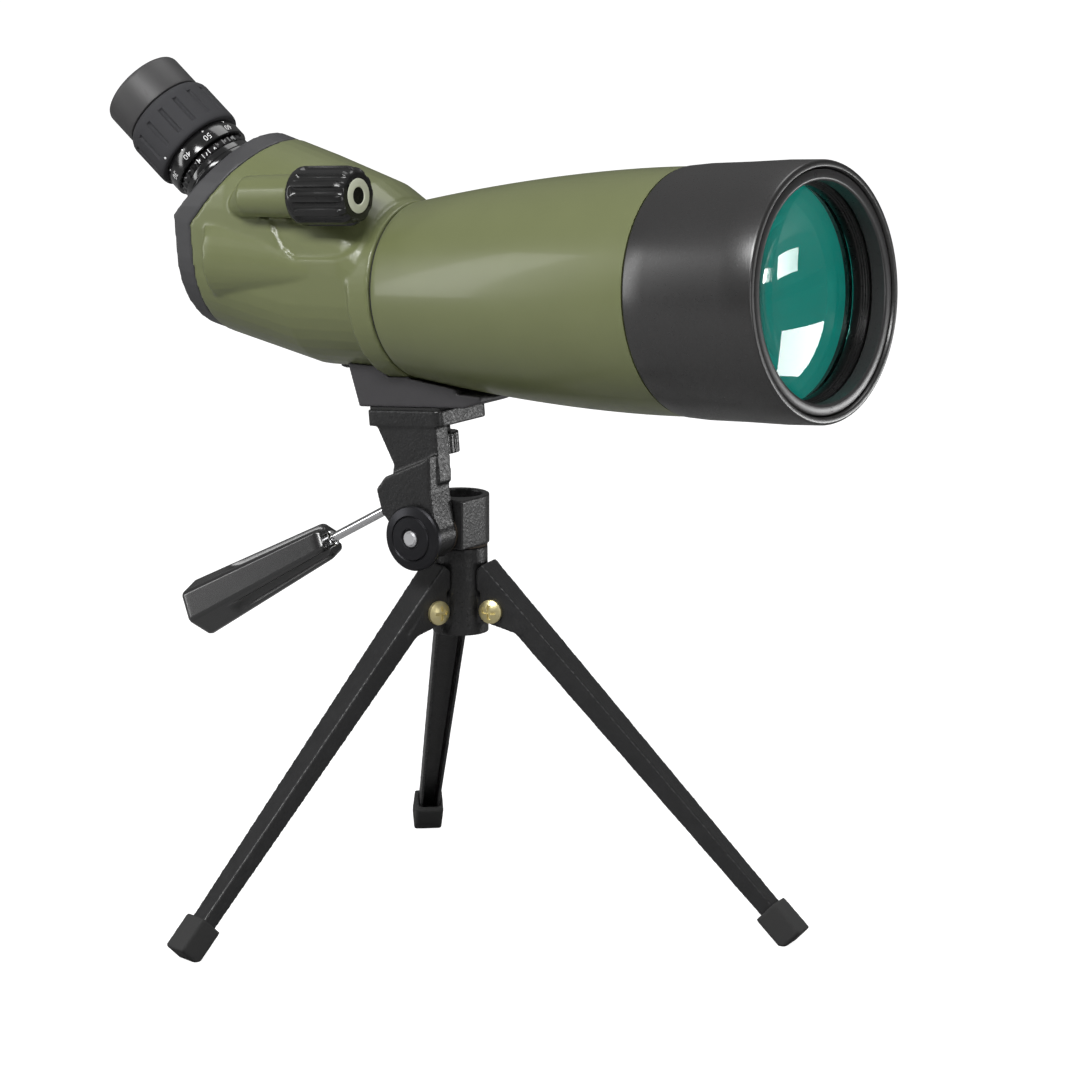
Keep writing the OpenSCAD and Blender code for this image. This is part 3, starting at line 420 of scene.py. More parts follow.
@dataclass
class Places:
    """The local frames that the sub-assemblies are drawn in, taken from the joints."""

    joints: dict[str, dict]
    tilt_to_axis: tuple[float, float] = (12.9, 76.4)
    eye_x: float = -52.2
    knob_at: tuple[float, float] = (-27.0, 33.0)

    def _axis(self, name: str) -> Vector:
        """Direction of a joint."""
        return Vector(self.joints[name]["axis"]).normalized()

    def scope(self) -> Matrix:
        """The scope's frame, X along the optical axis."""
        x = self._axis("focus_travel")
        y = Vector((0, 1, 0))
        z = x.cross(y)
        dx, dz = self.tilt_to_axis
        origin = Vector(self.joints["tilt"]["pos_m"]) + (x * dx + z * dz) * MM
        return placed_axes(origin, x, y, z)

    def lathe(self) -> Matrix:
        """The scope's frame turned so that Z is the optical axis, for turned pieces."""
        return self.scope() @ Matrix.Rotation(math.pi / 2, 4, "Y")

    def eye(self) -> Matrix:
        """The eyepiece's frame, Z towards the eye."""
        z = self._axis("zoom_travel")
        y = Vector((0, 1, 0))
        origin = self.scope() @ Vector((self.eye_x, 0, 0))
        return placed_axes(origin, y.cross(z), y, z)

    def knob(self) -> Matrix:
        """The focus knob's frame, Z forward."""
        origin = Matrix.Translation((0, self.knob_at[0], self.knob_at[1]))
        return self.scope() @ origin @ Matrix.Rotation(math.pi / 2, 4, "Y")

    def handle(self) -> Matrix:
        """The pan handle's frame, Z along the rod away from the head."""
        z = self._axis("handle_twist")
        y = Vector((0, 1, 0))
        return placed_axes(Vector(self.joints["handle_twist"]["pos_m"]), y.cross(z), y, z)

    def pan(self) -> Matrix:
        """The ground frame under the pan axis."""
        pos = self.joints["pan"]["pos_m"]
        foot = Vector((pos[0], pos[1], 0))
        return placed_axes(foot, Vector((1, 0, 0)), Vector((0, 1, 0)), Vector((0, 0, 1)))


# ---------------------------------------------------------------- shaping


def round_edges(bm: bmesh.types.BMesh, offset: float, angle: float = 28.0, segments: int = 2) -> None:
    """Bevels every edge that is sharper than an angle.

    Args:
        bm: The mesh.
        offset: Bevel width in the mesh's units.
        angle: The smallest angle between faces, in degrees.
        segments: Bevel segments.
    """
    limit = math.radians(angle)
    sharp = [e for e in bm.edges if e.is_manifold and e.calc_face_angle(0.0) > limit]
    if sharp:
        bmesh.ops.bevel(bm, geom=sharp, offset=offset, offset_type="OFFSET", segments=segments, profile=0.5,
                        affect="EDGES", clamp_overlap=True, material=-1)


def turned(profile: Profile, steps: int = 160, closed: bool = True) -> bmesh.types.BMesh:
    """Spins a profile about Z.

    Args:
        profile: Radius and height of each corner, in millimetres.
        steps: Segments round the axis.
        closed: Joins the last corner to the first, as for a ring. An open profile ends on the axis.

    Returns:
        The turned mesh, in millimetres.
    """
    bm = bmesh.new()
    verts = [bm.verts.new((r, 0.0, z)) for r, z in profile]
    pairs = list(zip(verts, verts[1:])) + ([(verts[-1], verts[0])] if closed else [])
    edges = [bm.edges.new(pair) for pair in pairs]
    bmesh.ops.spin(bm, geom=verts + edges, cent=(0, 0, 0), axis=(0, 0, 1), dvec=(0, 0, 0),
                   angle=FULL_TURN, steps=steps, use_merge=True, use_duplicate=False)
    bmesh.ops.remove_doubles(bm, verts=bm.verts[:], dist=1e-4)
    bmesh.ops.recalc_face_normals(bm, faces=bm.faces[:])
    return bm


def lofted(outlines: Sequence[Outline], capped: bool = True) -> bmesh.types.BMesh:
    """Bridges closed outlines of equal length one after another.

    Args:
        outlines: Each outline's corners in order.
        capped: Fills the first and last outline.

    Returns:
        The mesh.
    """
    bm = bmesh.new()
    rings: list[list[bmesh.types.BMEdge]] = []
    for outline in outlines:
        verts = [bm.verts.new(p) for p in outline]
        rings.append([bm.edges.new((a, b)) for a, b in zip(verts, verts[1:] + verts[:1])])
    for low, high in zip(rings, rings[1:]):
        bmesh.ops.bridge_loops(bm, edges=low + high)
    if capped:
        for ring in (rings[0], rings[-1]):
            bmesh.ops.edgeloop_fill(bm, edges=ring)
    bmesh.ops.recalc_face_normals(bm, faces=bm.faces[:])
    return bm


def ring_outline(radius: Callable[[float], float], z: float, count: int) -> list[tuple[float, float, float]]:
    """Points round Z whose radius depends on the angle.

    Args:
        radius: Gives the radius for an angle in radians.
        z: Height of the outline.
        count: How many points.

    Returns:
        The points.
    """
    turn = [FULL_TURN * i / count for i in range(count)]
    return [(radius(a) * math.cos(a), radius(a) * math.sin(a), z) for a in turn]


def join_into(target: bmesh.types.BMesh, part: bmesh.types.BMesh, place: Optional[Matrix] = None) -> None:
    """Adds one mesh to another and frees it.

    Args:
        target: The mesh that grows.
        part: The mesh that is added.
        place: Where the added mesh goes.
    """
    if place is not None:
        bmesh.ops.transform(part, matrix=place, verts=part.verts[:])
    carrier = bpy.data.meshes.new("carrier")
    part.to_mesh(carrier)
    part.free()
    target.from_mesh(carrier)
    bpy.data.meshes.remove(carrier)


@dataclass
class Workshop:
    """Turns meshes into finished pieces that ride on the model's bodies."""

    frame: dict
    places: Places

    def finish(self, name: str, bm: bmesh.types.BMesh, place: Matrix, finish: object, body: str, slot: str,
               nodes: Iterable[str] = (), sharp: float = 38.0) -> bpy.types.Object:
        """Puts a mesh in its place as a piece of the object.

        Args:
            name: The piece's name.
            bm: Its mesh in local units, freed here.
            place: Takes local units to the model's metres.
            finish: The finish whose material it wears.
            body: The body it rides on.
            slot: The record's material slot; not used.
            nodes: The nodes it stands for.
            sharp: Edges over this angle in degrees stay crisp.

        Returns:
            The new object.
        """
        bmesh.ops.transform(bm, matrix=place, verts=bm.verts[:])
        if place.determinant() < 0:
            bmesh.ops.reverse_faces(bm, faces=bm.faces[:])
        mesh = bpy.data.meshes.new(name)
        bm.to_mesh(mesh)
        bm.free()
        mesh.polygons.foreach_set("use_smooth", [True] * len(mesh.polygons))
        mesh.set_sharp_from_angle(angle=math.radians(sharp))
        obj = bpy.data.objects.new(name, mesh)
        bpy.context.scene.collection.objects.link(obj)
        obj.data.materials.append(finish.material())
        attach(obj, body)
        nodes = tuple(nodes)
        if nodes:
            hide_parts(*nodes)
        LOG.info("piece %s: %d faces", name, len(mesh.polygons))
        return obj

    def softened(self, name: str, node: str, finish: object, body: str, slot: str, voxel: float,
                 passes: int, factor: float = 0.5) -> bpy.types.Object:
        """Makes a piece from a node's own shape with its edges eased, as a casting or moulding has them.

        Args:
            name: The piece's name.
            node: The node it copies and stands for.
            finish: The finish whose material it wears.
            body: The body it rides on.
            slot: The record's material slot.
            voxel: Size of the rebuilt mesh's cells in millimetres.
            passes: Smoothing passes.
            factor: Strength of each pass.

        Returns:
            The new object.
        """
        bm = bmesh.new()
        bm.from_mesh(self.frame["nodes"][node].data)
        bmesh.ops.remove_doubles(bm, verts=bm.verts[:], dist=2e-6)
        raw = bpy.data.meshes.new(name + "_raw")
        bm.to_mesh(raw)
        bm.free()
        holder = bpy.data.objects.new(name + "_raw", raw)
        bpy.context.scene.collection.objects.link(holder)
        remesh = holder.modifiers.new("cells", "REMESH")
        remesh.mode = "VOXEL"
        remesh.voxel_size = voxel * MM
        ease = holder.modifiers.new("ease", "SMOOTH")
        ease.factor = factor
        ease.iterations = passes
        bpy.context.view_layer.update()
        shaped = bpy.data.meshes.new_from_object(holder.evaluated_get(bpy.context.evaluated_depsgraph_get()))
        bpy.data.objects.remove(holder)
        bpy.data.meshes.remove(raw)
        bm = bmesh.new()
        bm.from_mesh(shaped)
        bpy.data.meshes.remove(shaped)
        return self.finish(name, bm, Matrix.Identity(4), finish, body, slot, [node], sharp=180.0)


# ---------------------------------------------------------------- objective


@dataclass
class Objective:
    """The hood, the rings in its mouth and the glass behind them."""

    shop: Workshop
    hood_r: float = 40.0
    rear: float = 90.0
    front: float = 138.0
    clear_r: float = 32.5

    def build(self) -> None:
        """Builds every piece of the objective."""
        place = self.shop.places.lathe()
        self._hood(place)
        self._rings(place)
        self._glass(place)

    def _hood(self, place: Matrix) -> None:
        """Builds the turned hood with its rounded lip."""
        outer = [(36.4, self.rear), (38.1, self.rear), (38.5, self.rear + 0.5), (39.1, self.rear + 8),
                 (39.45, self.rear + 22), (self.hood_r, self.front - 12), (self.hood_r, self.front - 0.9),
                 (self.hood_r - 0.2, self.front - 0.3), (self.hood_r - 0.7, self.front)]
        inner = [(37.9, self.front), (37.5, self.front - 1), (37.5, 106.0), (36.4, 106.0)]
        bm = turned(outer + inner, 224)
        round_edges(bm, 0.16)
        self.shop.finish("hood_shell", bm, place, HOOD_BLACK, "scope", "hood_black", ["objective_hood"])

    def _rings(self, place: Matrix) -> None:
        """Builds the trim ring, a disc of painted shade in each spanner hole, and the stepped ring inside it.
        """
        bm = turned([(33.7, 136.9), (34.1, 137.25), (34.6, 137.3), (36.7, 137.3), (37.0, 137.15),
                     (37.2, 136.8), (37.2, 131.6), (34.6, 131.6), (33.7, 132.4)], 224)
        self.shop.finish("mouth_ring", bm, place, RIM_BLACK, "scope", "black_metal", ["front_trim_ring"])
        steps = [(clear := self.clear_r + 0.05, 129.1)]
        for i in range(3):
            steps += [(33.0 + 0.35 * i, 129.25 + 0.7 * i), (33.0 + 0.35 * i, 129.8 + 0.7 * i)]
        bm = turned(steps + [(34.4, 131.4), (34.4, 126.2), (clear, 126.2)], 192)
        round_edges(bm, 0.08)
        self.shop.finish("lens_clamp_ring", bm, place, INNER_BLACK, "scope", "black_metal",
                         ["lens_retaining_ring"])
        # No spanner hole is cut: each is a darker black disc set nearly flush in the ring face, painted shade
        # where the hole would be.
        hole_shade_discs = bmesh.new()
        for side in (1, -1):
            shade_disc = turned([(0.0, -0.05), (0.42, -0.05), (0.62, 0.03), (0.72, 0.0), (0.72, -0.4),
                          (0.0, -0.4)], 24, closed=False)
            join_into(hole_shade_discs, shade_disc, Matrix.Translation((35.6 * side, 0, 137.3)))
        self.shop.finish("spanner_hole_shade_discs", hole_shade_discs, place, SOFT_RUBBER, "scope", "black_metal")

    def _glass(self, place: Matrix) -> None:
        """Builds both elements of the objective with true curved faces."""
        def cap(radius: float, vertex: float, edge: float, sign: float) -> list[tuple[float, float]]:
            """Points of a spherical face from the axis to its edge."""
            centre = vertex - sign * radius
            rows = [edge * i / 24 for i in range(25)]
            return [(r, centre + sign * math.sqrt(radius * radius - r * r)) for r in rows]

        front = cap(150.0, 129.6, 33.9, 1.0)
        back = cap(190.0, 118.2, 33.9, -1.0)
        bm = turned(front + back[::-1], 160, closed=False)
        self.shop.finish("front_lens", bm, place, FRONT_GLASS, "scope", "coated_glass",
                         ["objective_crown_lens"], sharp=30.0)
        front = cap(210.0, 117.6, 33.9, -1.0)
        front = [(r, 113.0 + 210.0 - math.sqrt(210.0 ** 2 - r * r) - 0.2) for r, _ in front]
        bm = turned(front + [(33.9, 109.3), (0.0, 109.3)], 160, closed=False)
        self.shop.finish("rear_lens", bm, place, DEEP_GLASS, "scope", "clear_glass", ["objective_flint_lens"],
                         sharp=30.0)


# ---------------------------------------------------------------- tube


@dataclass
class Tube:
    """The flared green tube and the seam behind it."""

    shop: Workshop
    rear: float = -14.0
    front: float = 90.0
    rear_r: float = 27.8
    front_r: float = 38.2
    wall: float = 2.2

    def radius(self, x: float) -> float:
        """Outer radius at a station along the axis."""
        share = (self.front - x) / (self.front - self.rear)
        return self.front_r - (self.front_r - self.rear_r) * share ** 1.75

    def build(self) -> None:
        """Builds the tube."""
        count = 60
        start, end = self.rear + 0.8, self.front - 0.4
        outer = [(self.rear_r - 0.6, self.rear + 0.2), (self.radius(start) - 0.2, self.rear + 0.35)]
        outer += [(self.radius(x), x) for x in [start + (end - start) * i / count for i in range(count + 1)]]
        socket = [(36.35, end), (36.35, 104.0), (34.2, 104.0), (34.2, 84.0)]
        seat = self.rear + 2.4
        stations = [84.0 - (84.0 - seat) * i / 30 for i in range(31)]
        inner = [(self.radius(x) - self.wall, x) for x in stations]
        spigot = [(22.4, seat), (22.4, -21.6), (24.3, -21.6), (24.3, self.rear + 0.2)]
        bm = turned(outer + socket + inner + spigot, 224)
        self.shop.finish("flared_tube", bm, self.shop.places.lathe(), OLIVE, "scope", "green_body",
                         ["main_tube"])


# ---------------------------------------------------------------- eyepiece


@dataclass
class Eyepiece:
    """The zoom eyepiece: socket, lock ring, scale, rubber grip and eyecup."""

    shop: Workshop
    grip_r: float = 15.2
    cup_r: float = 13.9
    scale_r: float = 13.8
    slots: int = 16
    drop: float = 2.0

    def build(self) -> None:
        """Builds every visible piece of the eyepiece."""
        place = self.shop.places.eye()
        self._socket(place)
        upper = place @ Matrix.Translation((0, 0, -self.drop))
        self._lock(upper)
        self._scale(upper)
        self._grip(upper)
        self._cup(upper)

    def _socket(self, place: Matrix) -> None:
        """Builds the flange on the rear cover."""
        bm = turned([(9.62, 42.0), (11.45, 42.0), (11.45, 48.05), (13.4, 48.05), (13.4, 50.6), (12.95, 51.1),
                     (12.95, 51.7), (13.4, 52.2), (13.4, 53.5), (12.9, 54.1), (12.9, 56.0), (9.62, 56.0)])
        round_edges(bm, 0.15)
        self.shop.finish("socket_flange", bm, place, GLOSS_BLACK, "scope", "black_metal", ["eyepiece_socket"])

    def _lock(self, place: Matrix) -> None:
        """Builds the knurled lock ring."""
        def ridged(a: float) -> float:
            """Radius of the knurled edge."""
            return 12.72 + 0.16 * math.cos(30 * a)

        outlines = [ring_outline(lambda a: 9.76, 58.12, 240), ring_outline(lambda a: 12.3, 58.12, 240),
                    ring_outline(ridged, 58.6, 240), ring_outline(ridged, 60.4, 240),
                    ring_outline(lambda a: 12.3, 60.95, 240), ring_outline(lambda a: 9.76, 60.95, 240),
                    ring_outline(lambda a: 9.76, 58.12, 240)]
        bm = lofted(outlines, capped=False)
        bmesh.ops.remove_doubles(bm, verts=bm.verts[:], dist=1e-4)
        bmesh.ops.recalc_face_normals(bm, faces=bm.faces[:])
        self.shop.finish("lock_ring", bm, place, GLOSS_BLACK, "eyepiece_lock", "black_metal",
                         ["socket_lock_ring"])

    def _scale(self, place: Matrix) -> None:
        """Builds the scale ring with plain power numbers and dots."""
        r = self.scale_r - 0.05
        bm = turned([(9.75, 61.15), (r - 0.3, 61.15), (r, 61.45), (r, 66.5), (r - 0.3, 66.9), (9.75, 66.9)])
        self.shop.finish("scale_band", bm, place, GLOSS_BLACK, "scope", "black_metal", ["scale_ring"])
        marks = bmesh.new()
        for i, text in enumerate(("20", "30", "40", "50", "60")):
            turn = math.radians(-150 + 37.5 * i)
            join_into(marks, self._number(text, turn))
            dot = turned([(0.0, 0.03), (0.26, 0.03), (0.32, -0.05), (0.0, -0.05)], 20, closed=False)
            spot = Matrix.Rotation(turn, 4, "Z") @ Matrix.Translation((r, 0, 65.9))
            spot = spot @ Matrix.Rotation(math.pi / 2, 4, "Y")
            join_into(marks, dot, spot)
        self.shop.finish("scale_marks", marks, place, WHITE_MARK, "scope", "cream_inlay")

    def _number(self, text: str, turn: float) -> bmesh.types.BMesh:
        """Wraps a small number round the scale ring.

        Args:
            text: The number.
            turn: The angle of its middle in radians.

        Returns:
            Its mesh in the eyepiece's frame.
        """
        curve = bpy.data.curves.new("number", "FONT")
        curve.body = text
        curve.size = 2.9
        curve.align_x = "CENTER"
        curve.align_y = "CENTER"
        curve.extrude = 0.03
        curve.resolution_u = 3
        holder = bpy.data.objects.new("number", curve)
        bpy.context.scene.collection.objects.link(holder)
        bpy.context.view_layer.update()
        mesh = bpy.data.meshes.new_from_object(holder.evaluated_get(bpy.context.evaluated_depsgraph_get()))
        bm = bmesh.new()
        bm.from_mesh(mesh)
        bpy.data.objects.remove(holder)
        bpy.data.curves.remove(curve)
        bpy.data.meshes.remove(mesh)
        for vert in bm.verts:
            a = turn - vert.co.x / self.scale_r
            r = self.scale_r - 0.05 + vert.co.z
            vert.co = (r * math.cos(a), r * math.sin(a), 63.5 - vert.co.y)
        bmesh.ops.recalc_face_normals(bm, faces=bm.faces[:])
        return bm

    def _grip(self, place: Matrix) -> None:
        """Builds the rubber zoom grip with its sunk slots, and its white index dot."""
        count = self.slots * 24

        def slotted(depth: float) -> Callable[[float], float]:
            """Gives the radius with the slots sunk to a depth."""
            def radius(a: float) -> float:
                """Radius at an angle."""
                phase = (a - math.radians(8)) * self.slots / (2 * math.pi)
                offset = (phase - round(phase)) * 2 * math.pi / self.slots * self.grip_r
                groove = max(0.0, 1.0 - (offset / 0.85) ** 2)
                return self.grip_r - depth * math.sqrt(groove)
            return radius

        plain = [(13.25, 67.3), (14.6, 67.3), (14.95, 67.7), (15.15, 68.4), (self.grip_r, 69.4)]
        outlines = [ring_outline(lambda a, r=r: r, z, count) for r, z in plain]
        slot = [(70.2, 0.0), (70.35, 0.45), (70.7, 0.72), (71.2, 0.8), (74.0, 0.8), (77.0, 0.8), (79.8, 0.8),
                (80.3, 0.72), (80.65, 0.45), (80.8, 0.0)]
        outlines += [ring_outline(slotted(depth), z, count) for z, depth in slot]
        ending = [(self.grip_r, 82.0), (15.05, 82.9), (14.6, 83.9), (13.9, 84.7), (13.25, 84.8),
                  (13.25, 67.3)]
        outlines += [ring_outline(lambda a, r=r: r, z, count) for r, z in ending]
        bm = lofted(outlines, capped=False)
        bmesh.ops.remove_doubles(bm, verts=bm.verts[:], dist=1e-4)
        bmesh.ops.recalc_face_normals(bm, faces=bm.faces[:])
        self.shop.finish("zoom_rubber", bm, place, GRIP_RUBBER, "zoom_ring", "grip_rubber", ["zoom_grip"],
                         sharp=50.0)
        dot = turned([(0.0, 0.06), (0.4, 0.06), (0.5, -0.1), (0.0, -0.1)], 24, closed=False)
        turn = Matrix.Rotation(math.radians(-98), 4, "Z")
        spot = turn @ Matrix.Translation((15.16, 0, 68.6)) @ Matrix.Rotation(math.pi / 2, 4, "Y")
        bmesh.ops.transform(dot, matrix=spot, verts=dot.verts[:])
        self.shop.finish("zoom_index_dot", dot, place, WHITE_MARK, "zoom_ring", "cream_inlay")

    def _cup(self, place: Matrix) -> None:
        """Builds the rubber eyecup with its rolled lip."""
        r = self.cup_r
        bm = turned([(9.6, 85.1), (r - 0.7, 85.1), (r - 0.15, 85.5), (r, 86.3), (r, 96.0), (r - 0.06, 96.6),
                     (r - 0.35, 97.2), (r - 0.85, 97.55), (r - 1.3, 97.5), (r - 1.75, 97.1), (r - 1.95, 96.4),
                     (r - 2.1, 95.0), (11.3, 89.6), (10.4, 88.8), (9.6, 88.8)])
        self.shop.finish("eyecup_rubber", bm, place, CUP_RUBBER, "scope", "grip_rubber", ["eyecup"])


# ---------------------------------------------------------------- focus


@dataclass
class FocusKnob:
    """The fluted focus knob with its plain inlay."""

    shop: Workshop
    radius: float = 9.4
    rear: float = -38.3
    length: float = 22.5
    flutes: int = 12

    def build(self) -> None:
        """Builds the knob and its inlay."""
        place = self.shop.places.knob()
        count = self.flutes * 24

        def fluted(base: float, depth: float) -> Callable[[float], float]:
            """Gives a radius with rounded flutes of a depth."""
            def radius(a: float) -> float:
                """Radius at an angle."""
                phase = (a - math.radians(15)) * self.flutes / (2 * math.pi)
                t = abs(phase - round(phase)) * 2
                dip = max(0.0, 1.0 - (t / 0.62) ** 2)
                return base - depth * math.sqrt(dip)
            return radius

        r, z0, z1 = self.radius, self.rear, self.rear + self.length
        rows = [(0.6, 0.0, 0.0), (r - 1.3, 0.0, 0.0), (r - 0.5, 0.35, 0.0), (r - 0.12, 1.1, 0.0),
                (r, 2.4, 0.0),
                (r, 3.0, 0.55), (r, 3.5, 0.95), (r, 4.4, 1.15), (r, 12.0, 1.15),
                (r, 18.9, 1.15), (r - 0.15, 19.9, 1.05), (r - 0.5, 20.9, 0.8), (r - 1.1, 21.8, 0.45),
                (r - 1.9, 22.4, 0.15), (r - 2.5, 22.5, 0.0), (5.75, 22.5, 0.0), (5.68, 21.8, 0.0),
                (0.6, 21.8, 0.0)]
        outlines = [ring_outline(fluted(base, depth), z0 + z, count) for base, z, depth in rows]
        bm = lofted(outlines)
        self.shop.finish("focus_knob_body", bm, place, KNOB_BLACK, "focus_drive", "knob_black",
                         ["focus_knob"], sharp=50.0)
        bm = turned([(0.0, z1 - 0.35), (2.5, z1 - 0.35), (2.7, z1 + 0.0), (2.95, z1 + 0.2), (5.1, z1 + 0.2),
                     (5.45, z1 + 0.05), (5.6, z1 - 0.3), (5.6, z1 - 0.7), (0.0, z1 - 0.7)], 96, closed=False)
        self.shop.finish("knob_inlay", bm, place, CREAM, "focus_drive", "cream_inlay", ["focus_knob_cap"])
        bm = turned([(0.0, z1 - 0.3), (2.3, z1 - 0.3), (2.45, z1 - 0.42), (0.0, z1 - 0.42)], 64, closed=False)
        self.shop.finish("knob_centre", bm, place, KNOB_BLACK, "focus_drive", "knob_black")


# ---------------------------------------------------------------- castings


@dataclass
class Castings:
    """Cast and moulded pieces whose own shapes get eased edges."""

    shop: Workshop

    def build(self) -> None:
        """Builds each eased piece."""
        rows = [
            ("housing_shell", "prism_housing", OLIVE, "scope", "green_body", 0.6, 3),
            ("cover_shell", "rear_cover", COVER_GREY, "scope", "dark_cover", 0.5, 3),
            ("foot_block", "mounting_foot", FOOT_GREY, "scope", "dark_cover", 0.4, 3),
            ("tilt_arm", "tilt_bracket", WRINKLE, "scope", "cast_black", 0.4, 5),
            ("column_casting", "pan_column", WRINKLE, "pan_head", "cast_black", 0.35, 3),
            ("hub_casting", "tripod_hub", WRINKLE, "tripod", "cast_black", 0.4, 3),
            ("clamp_knob", "camera_screw", KNOB_BLACK, "clamp_screw", "knob_black", 0.22, 2),
        ]
        for name, node, finish, body, slot, voxel, passes in rows:
            self.shop.softened(name, node, finish, body, slot, voxel, passes)
        for side in ("front", "back", "side"):
            body = side + "_leg_body"
            self.shop.softened(side + "_leg_channel", side + "_leg", LEG_PAINT, body, "leg_black", 0.42, 2)
            self.shop.softened(side + "_foot_rubber", side + "_foot_cap", FOOT_RUBBER, body, "foot_rubber",
                               0.5, 5)


# ---------------------------------------------------------------- pan handle


@dataclass
class PanHandle:
    """The chromed rod and the faceted grip of the pan handle."""

    shop: Workshop
    near_r: float = 5.9
    far_r: float = 9.35
    start: float = 26.0
    length: float = 60.5
    turn: float = math.radians(10)
    flute_end: float = 0.6
    flute_fade: float = 0.12

    def build(self) -> None:
        """Builds the rod, its collar and the grip."""
        place = self.shop.places.handle()
        bm = turned([(0.0, -7.0), (1.3, -7.0), (1.5, -6.8), (1.5, 24.3), (2.2, 24.4), (2.6, 24.8),
                     (2.6, 26.3), (2.2, 26.8), (1.5, 26.9), (1.5, 33.0), (0.0, 33.0)], 64, closed=False)
        self.shop.finish("handle_stem", bm, place, CHROME, "handle", "chrome_rod", ["handle_rod"])
        self._grip(place)

    def _grip(self, place: Matrix) -> None:
        """Builds the six-sided grip, with long rounded flutes that run out towards its end."""
        count = 288
        face_count = 6

        def section(t: float) -> Callable[[float], float]:
            """Gives the grip's radius at a fraction of its length."""
            base = self.near_r + (self.far_r - self.near_r) * t
            run_out = max(0.0, 1.0 - max(0.0, t - self.flute_end) / self.flute_fade)
            depth = base * 0.26 * math.sqrt(run_out)
            half_width = max(0.05, base * 0.3)

            def radius(a: float) -> float:
                """Radius of the rounded hexagon at an angle."""
                pitch = 2 * math.pi / face_count
                face = (a - self.turn) % pitch - pitch / 2
                flat = base * 0.9 / math.cos(face)
                lobe = (a - self.turn - pitch / 2) % (2 * pitch) - pitch
                arc = lobe * base
                dip = max(0.0, 1.0 - (arc / half_width) ** 2)
                return min(flat, base) - depth * math.sqrt(dip)
            return radius

        rows = [(0.0, 0.84), (0.008, 0.93), (0.022, 0.985), (0.04, 1.0)]
        rows += [(0.04 + 0.93 * i / 40, 1.0) for i in range(1, 41)]
        rows += [(0.982, 0.995), (0.993, 0.965), (1.0, 0.91)]
        outlines = []
        for t, shrink in rows:
            profile = section(t)
            height = self.start + self.length * t
            outlines.append(ring_outline(lambda a, p=profile, s=shrink: p(a) * s, height, count))
        bm = lofted(outlines)
        self.shop.finish("handle_grip_body", bm, place, GRIP_GLOSS, "handle", "handle_black", ["handle_grip"],
                         sharp=34.0)


# ---------------------------------------------------------------- set


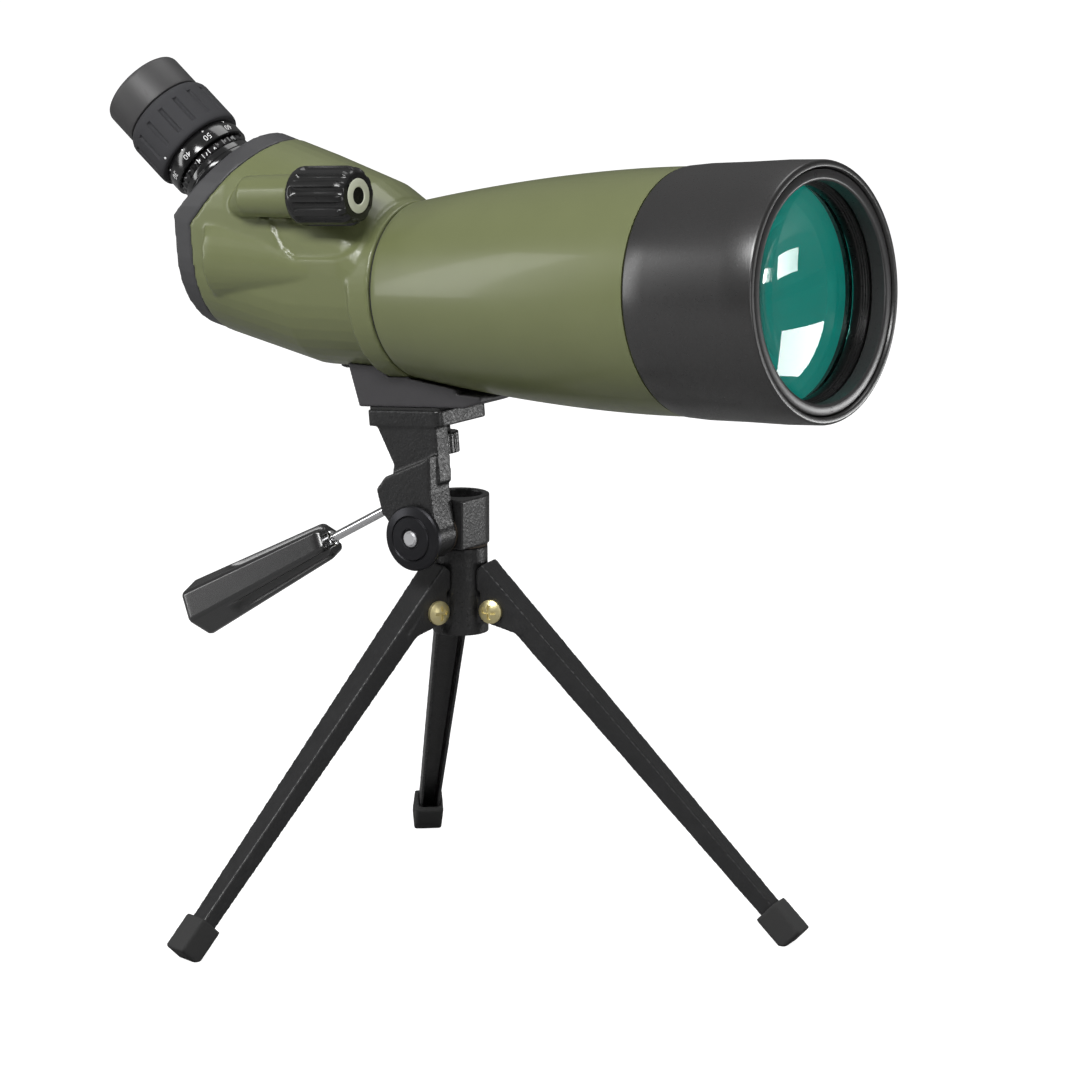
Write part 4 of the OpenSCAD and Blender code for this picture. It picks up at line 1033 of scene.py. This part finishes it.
@dataclass
class Studio:
    """The floor, the lights and the camera."""

    shop: Workshop
    lens_mm: float = 216.67
    eye: tuple[float, float, float] = (1208.9, -1615.0, 538.1)
    target: tuple[float, float, float] = (20.36, 14.85, 120.3)
    side_glow: float = 0.1
    top_glow: float = 0.3
    floor_lift: float = 0.97

    def build(self) -> None:
        """Builds the set."""
        self._floor()
        self._world()
        self._lights()
        self._camera()

    def _floor(self) -> None:
        """Lays a plain white floor."""
        bm = bmesh.new()
        bmesh.ops.create_grid(bm, x_segments=2, y_segments=2, size=6.0)
        mesh = bpy.data.meshes.new("floor")
        bm.to_mesh(mesh)
        bm.free()
        floor = bpy.data.objects.new("floor", mesh)
        bpy.context.scene.collection.objects.link(floor)
        mat = bpy.data.materials.new("floor_white")
        mat.use_nodes = True
        shader = mat.node_tree.nodes["Principled BSDF"]
        shader.inputs["Base Color"].default_value = (0.32, 0.32, 0.32, 1)
        shader.inputs["Roughness"].default_value = 0.9
        shader.inputs["Specular IOR Level"].default_value = 0.0
        path = mat.node_tree.nodes.new("ShaderNodeLightPath")
        mat.node_tree.links.new(path.outputs["Is Camera Ray"], shader.inputs["Emission Color"])
        shader.inputs["Emission Strength"].default_value = self.floor_lift
        mesh.materials.append(mat)

    def _world(self) -> None:
        """Sets a soft surround, dim round the sides and brighter overhead."""
        world = bpy.data.worlds.new("surround")
        bpy.context.scene.world = world
        world.use_nodes = True
        tree = world.node_tree
        back = tree.nodes["Background"]
        back.inputs["Color"].default_value = (1, 1, 1, 1)
        coord = tree.nodes.new("ShaderNodeTexCoord")
        split = tree.nodes.new("ShaderNodeSeparateXYZ")
        rise = tree.nodes.new("ShaderNodeMapRange")
        rise.inputs["From Min"].default_value = 0.15
        rise.inputs["From Max"].default_value = 0.95
        rise.inputs["To Min"].default_value = self.side_glow
        rise.inputs["To Max"].default_value = self.top_glow
        tree.links.new(coord.outputs["Generated"], split.inputs["Vector"])
        tree.links.new(split.outputs["Z"], rise.inputs["Value"])
        tree.links.new(rise.outputs["Result"], back.inputs["Strength"])

    def _light(self, name: str, place: tuple[float, float, float], aim: tuple[float, float, float],
               size: tuple[float, float], power: float) -> None:
        """Adds a soft box.

        Args:
            name: The light's name.
            place: Where it stands in metres.
            aim: What it points at.
            size: Its width and height.
            power: Its power in watts.
        """
        data = bpy.data.lights.new(name, "AREA")
        data.shape = "RECTANGLE"
        data.size, data.size_y = size
        data.energy = power
        obj = bpy.data.objects.new(name, data)
        bpy.context.scene.collection.objects.link(obj)
        obj.location = place
        obj.rotation_euler = (Vector(aim) - Vector(place)).to_track_quat("-Z", "Y").to_euler()
        obj.visible_camera = False

    def _lights(self) -> None:
        """Adds the soft boxes."""
        self._light("key", (0.1, -1.15, 1.2), (0.02, 0, 0.2), (1.1, 0.34), 21.0)
        self._light("top", (0.0, 0.5, 1.4), (0.0, 0, 0.2), (0.7, 0.7), 4.0)
        self._light("side", (-1.2, -0.9, 0.5), (-0.05, 0, 0.15), (0.25, 0.9), 4.0)
        self._light("front", (1.5, -0.45, 0.35), (0.1, 0, 0.2), (0.3, 0.5), 2.5)
        self._light("low_card", (0.42, 0.45, 0.085), (0.126, 0.0, 0.2), (0.2, 0.08), 0.6)

    def _camera(self) -> None:
        """Stands the camera far off with a long lens."""
        data = bpy.data.cameras.new("camera")
        data.lens = self.lens_mm
        data.sensor_width = 36.0
        data.clip_start = 0.05
        data.clip_end = 60.0
        cam = bpy.data.objects.new("camera", data)
        bpy.context.scene.collection.objects.link(cam)
        base = self.shop.places.pan()
        eye = base @ Vector(self.eye)
        target = base @ Vector(self.target)
        cam.location = eye
        cam.rotation_euler = (target - eye).to_track_quat("-Z", "Y").to_euler()
        bpy.context.scene.camera = cam
        bpy.context.scene.view_settings.view_transform = "Standard"


def dress_nodes(frame: dict) -> None:
    """Gives every node of the model its finish.

    Args:
        frame: The loaded model.
    """
    for name, obj in frame["nodes"].items():
        mat = NODE_FINISHES[name].material()
        obj.data.materials.clear()
        obj.data.materials.append(mat)


def main() -> None:
    """Builds the object and its set."""
    logging.basicConfig(level=logging.INFO, format="%(name)s: %(message)s")
    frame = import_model()
    places = Places({j["name"]: j for j in frame["joints"]})
    shop = Workshop(frame, places)
    dress_nodes(frame)
    for kind in (Objective, Tube, Eyepiece, FocusKnob, Castings, PanHandle):
        part = kind(shop)
        part.build()
        LOG.info("built %s", type(part).__name__)
    Studio(shop).build()


if __name__ == "__main__":
    main()
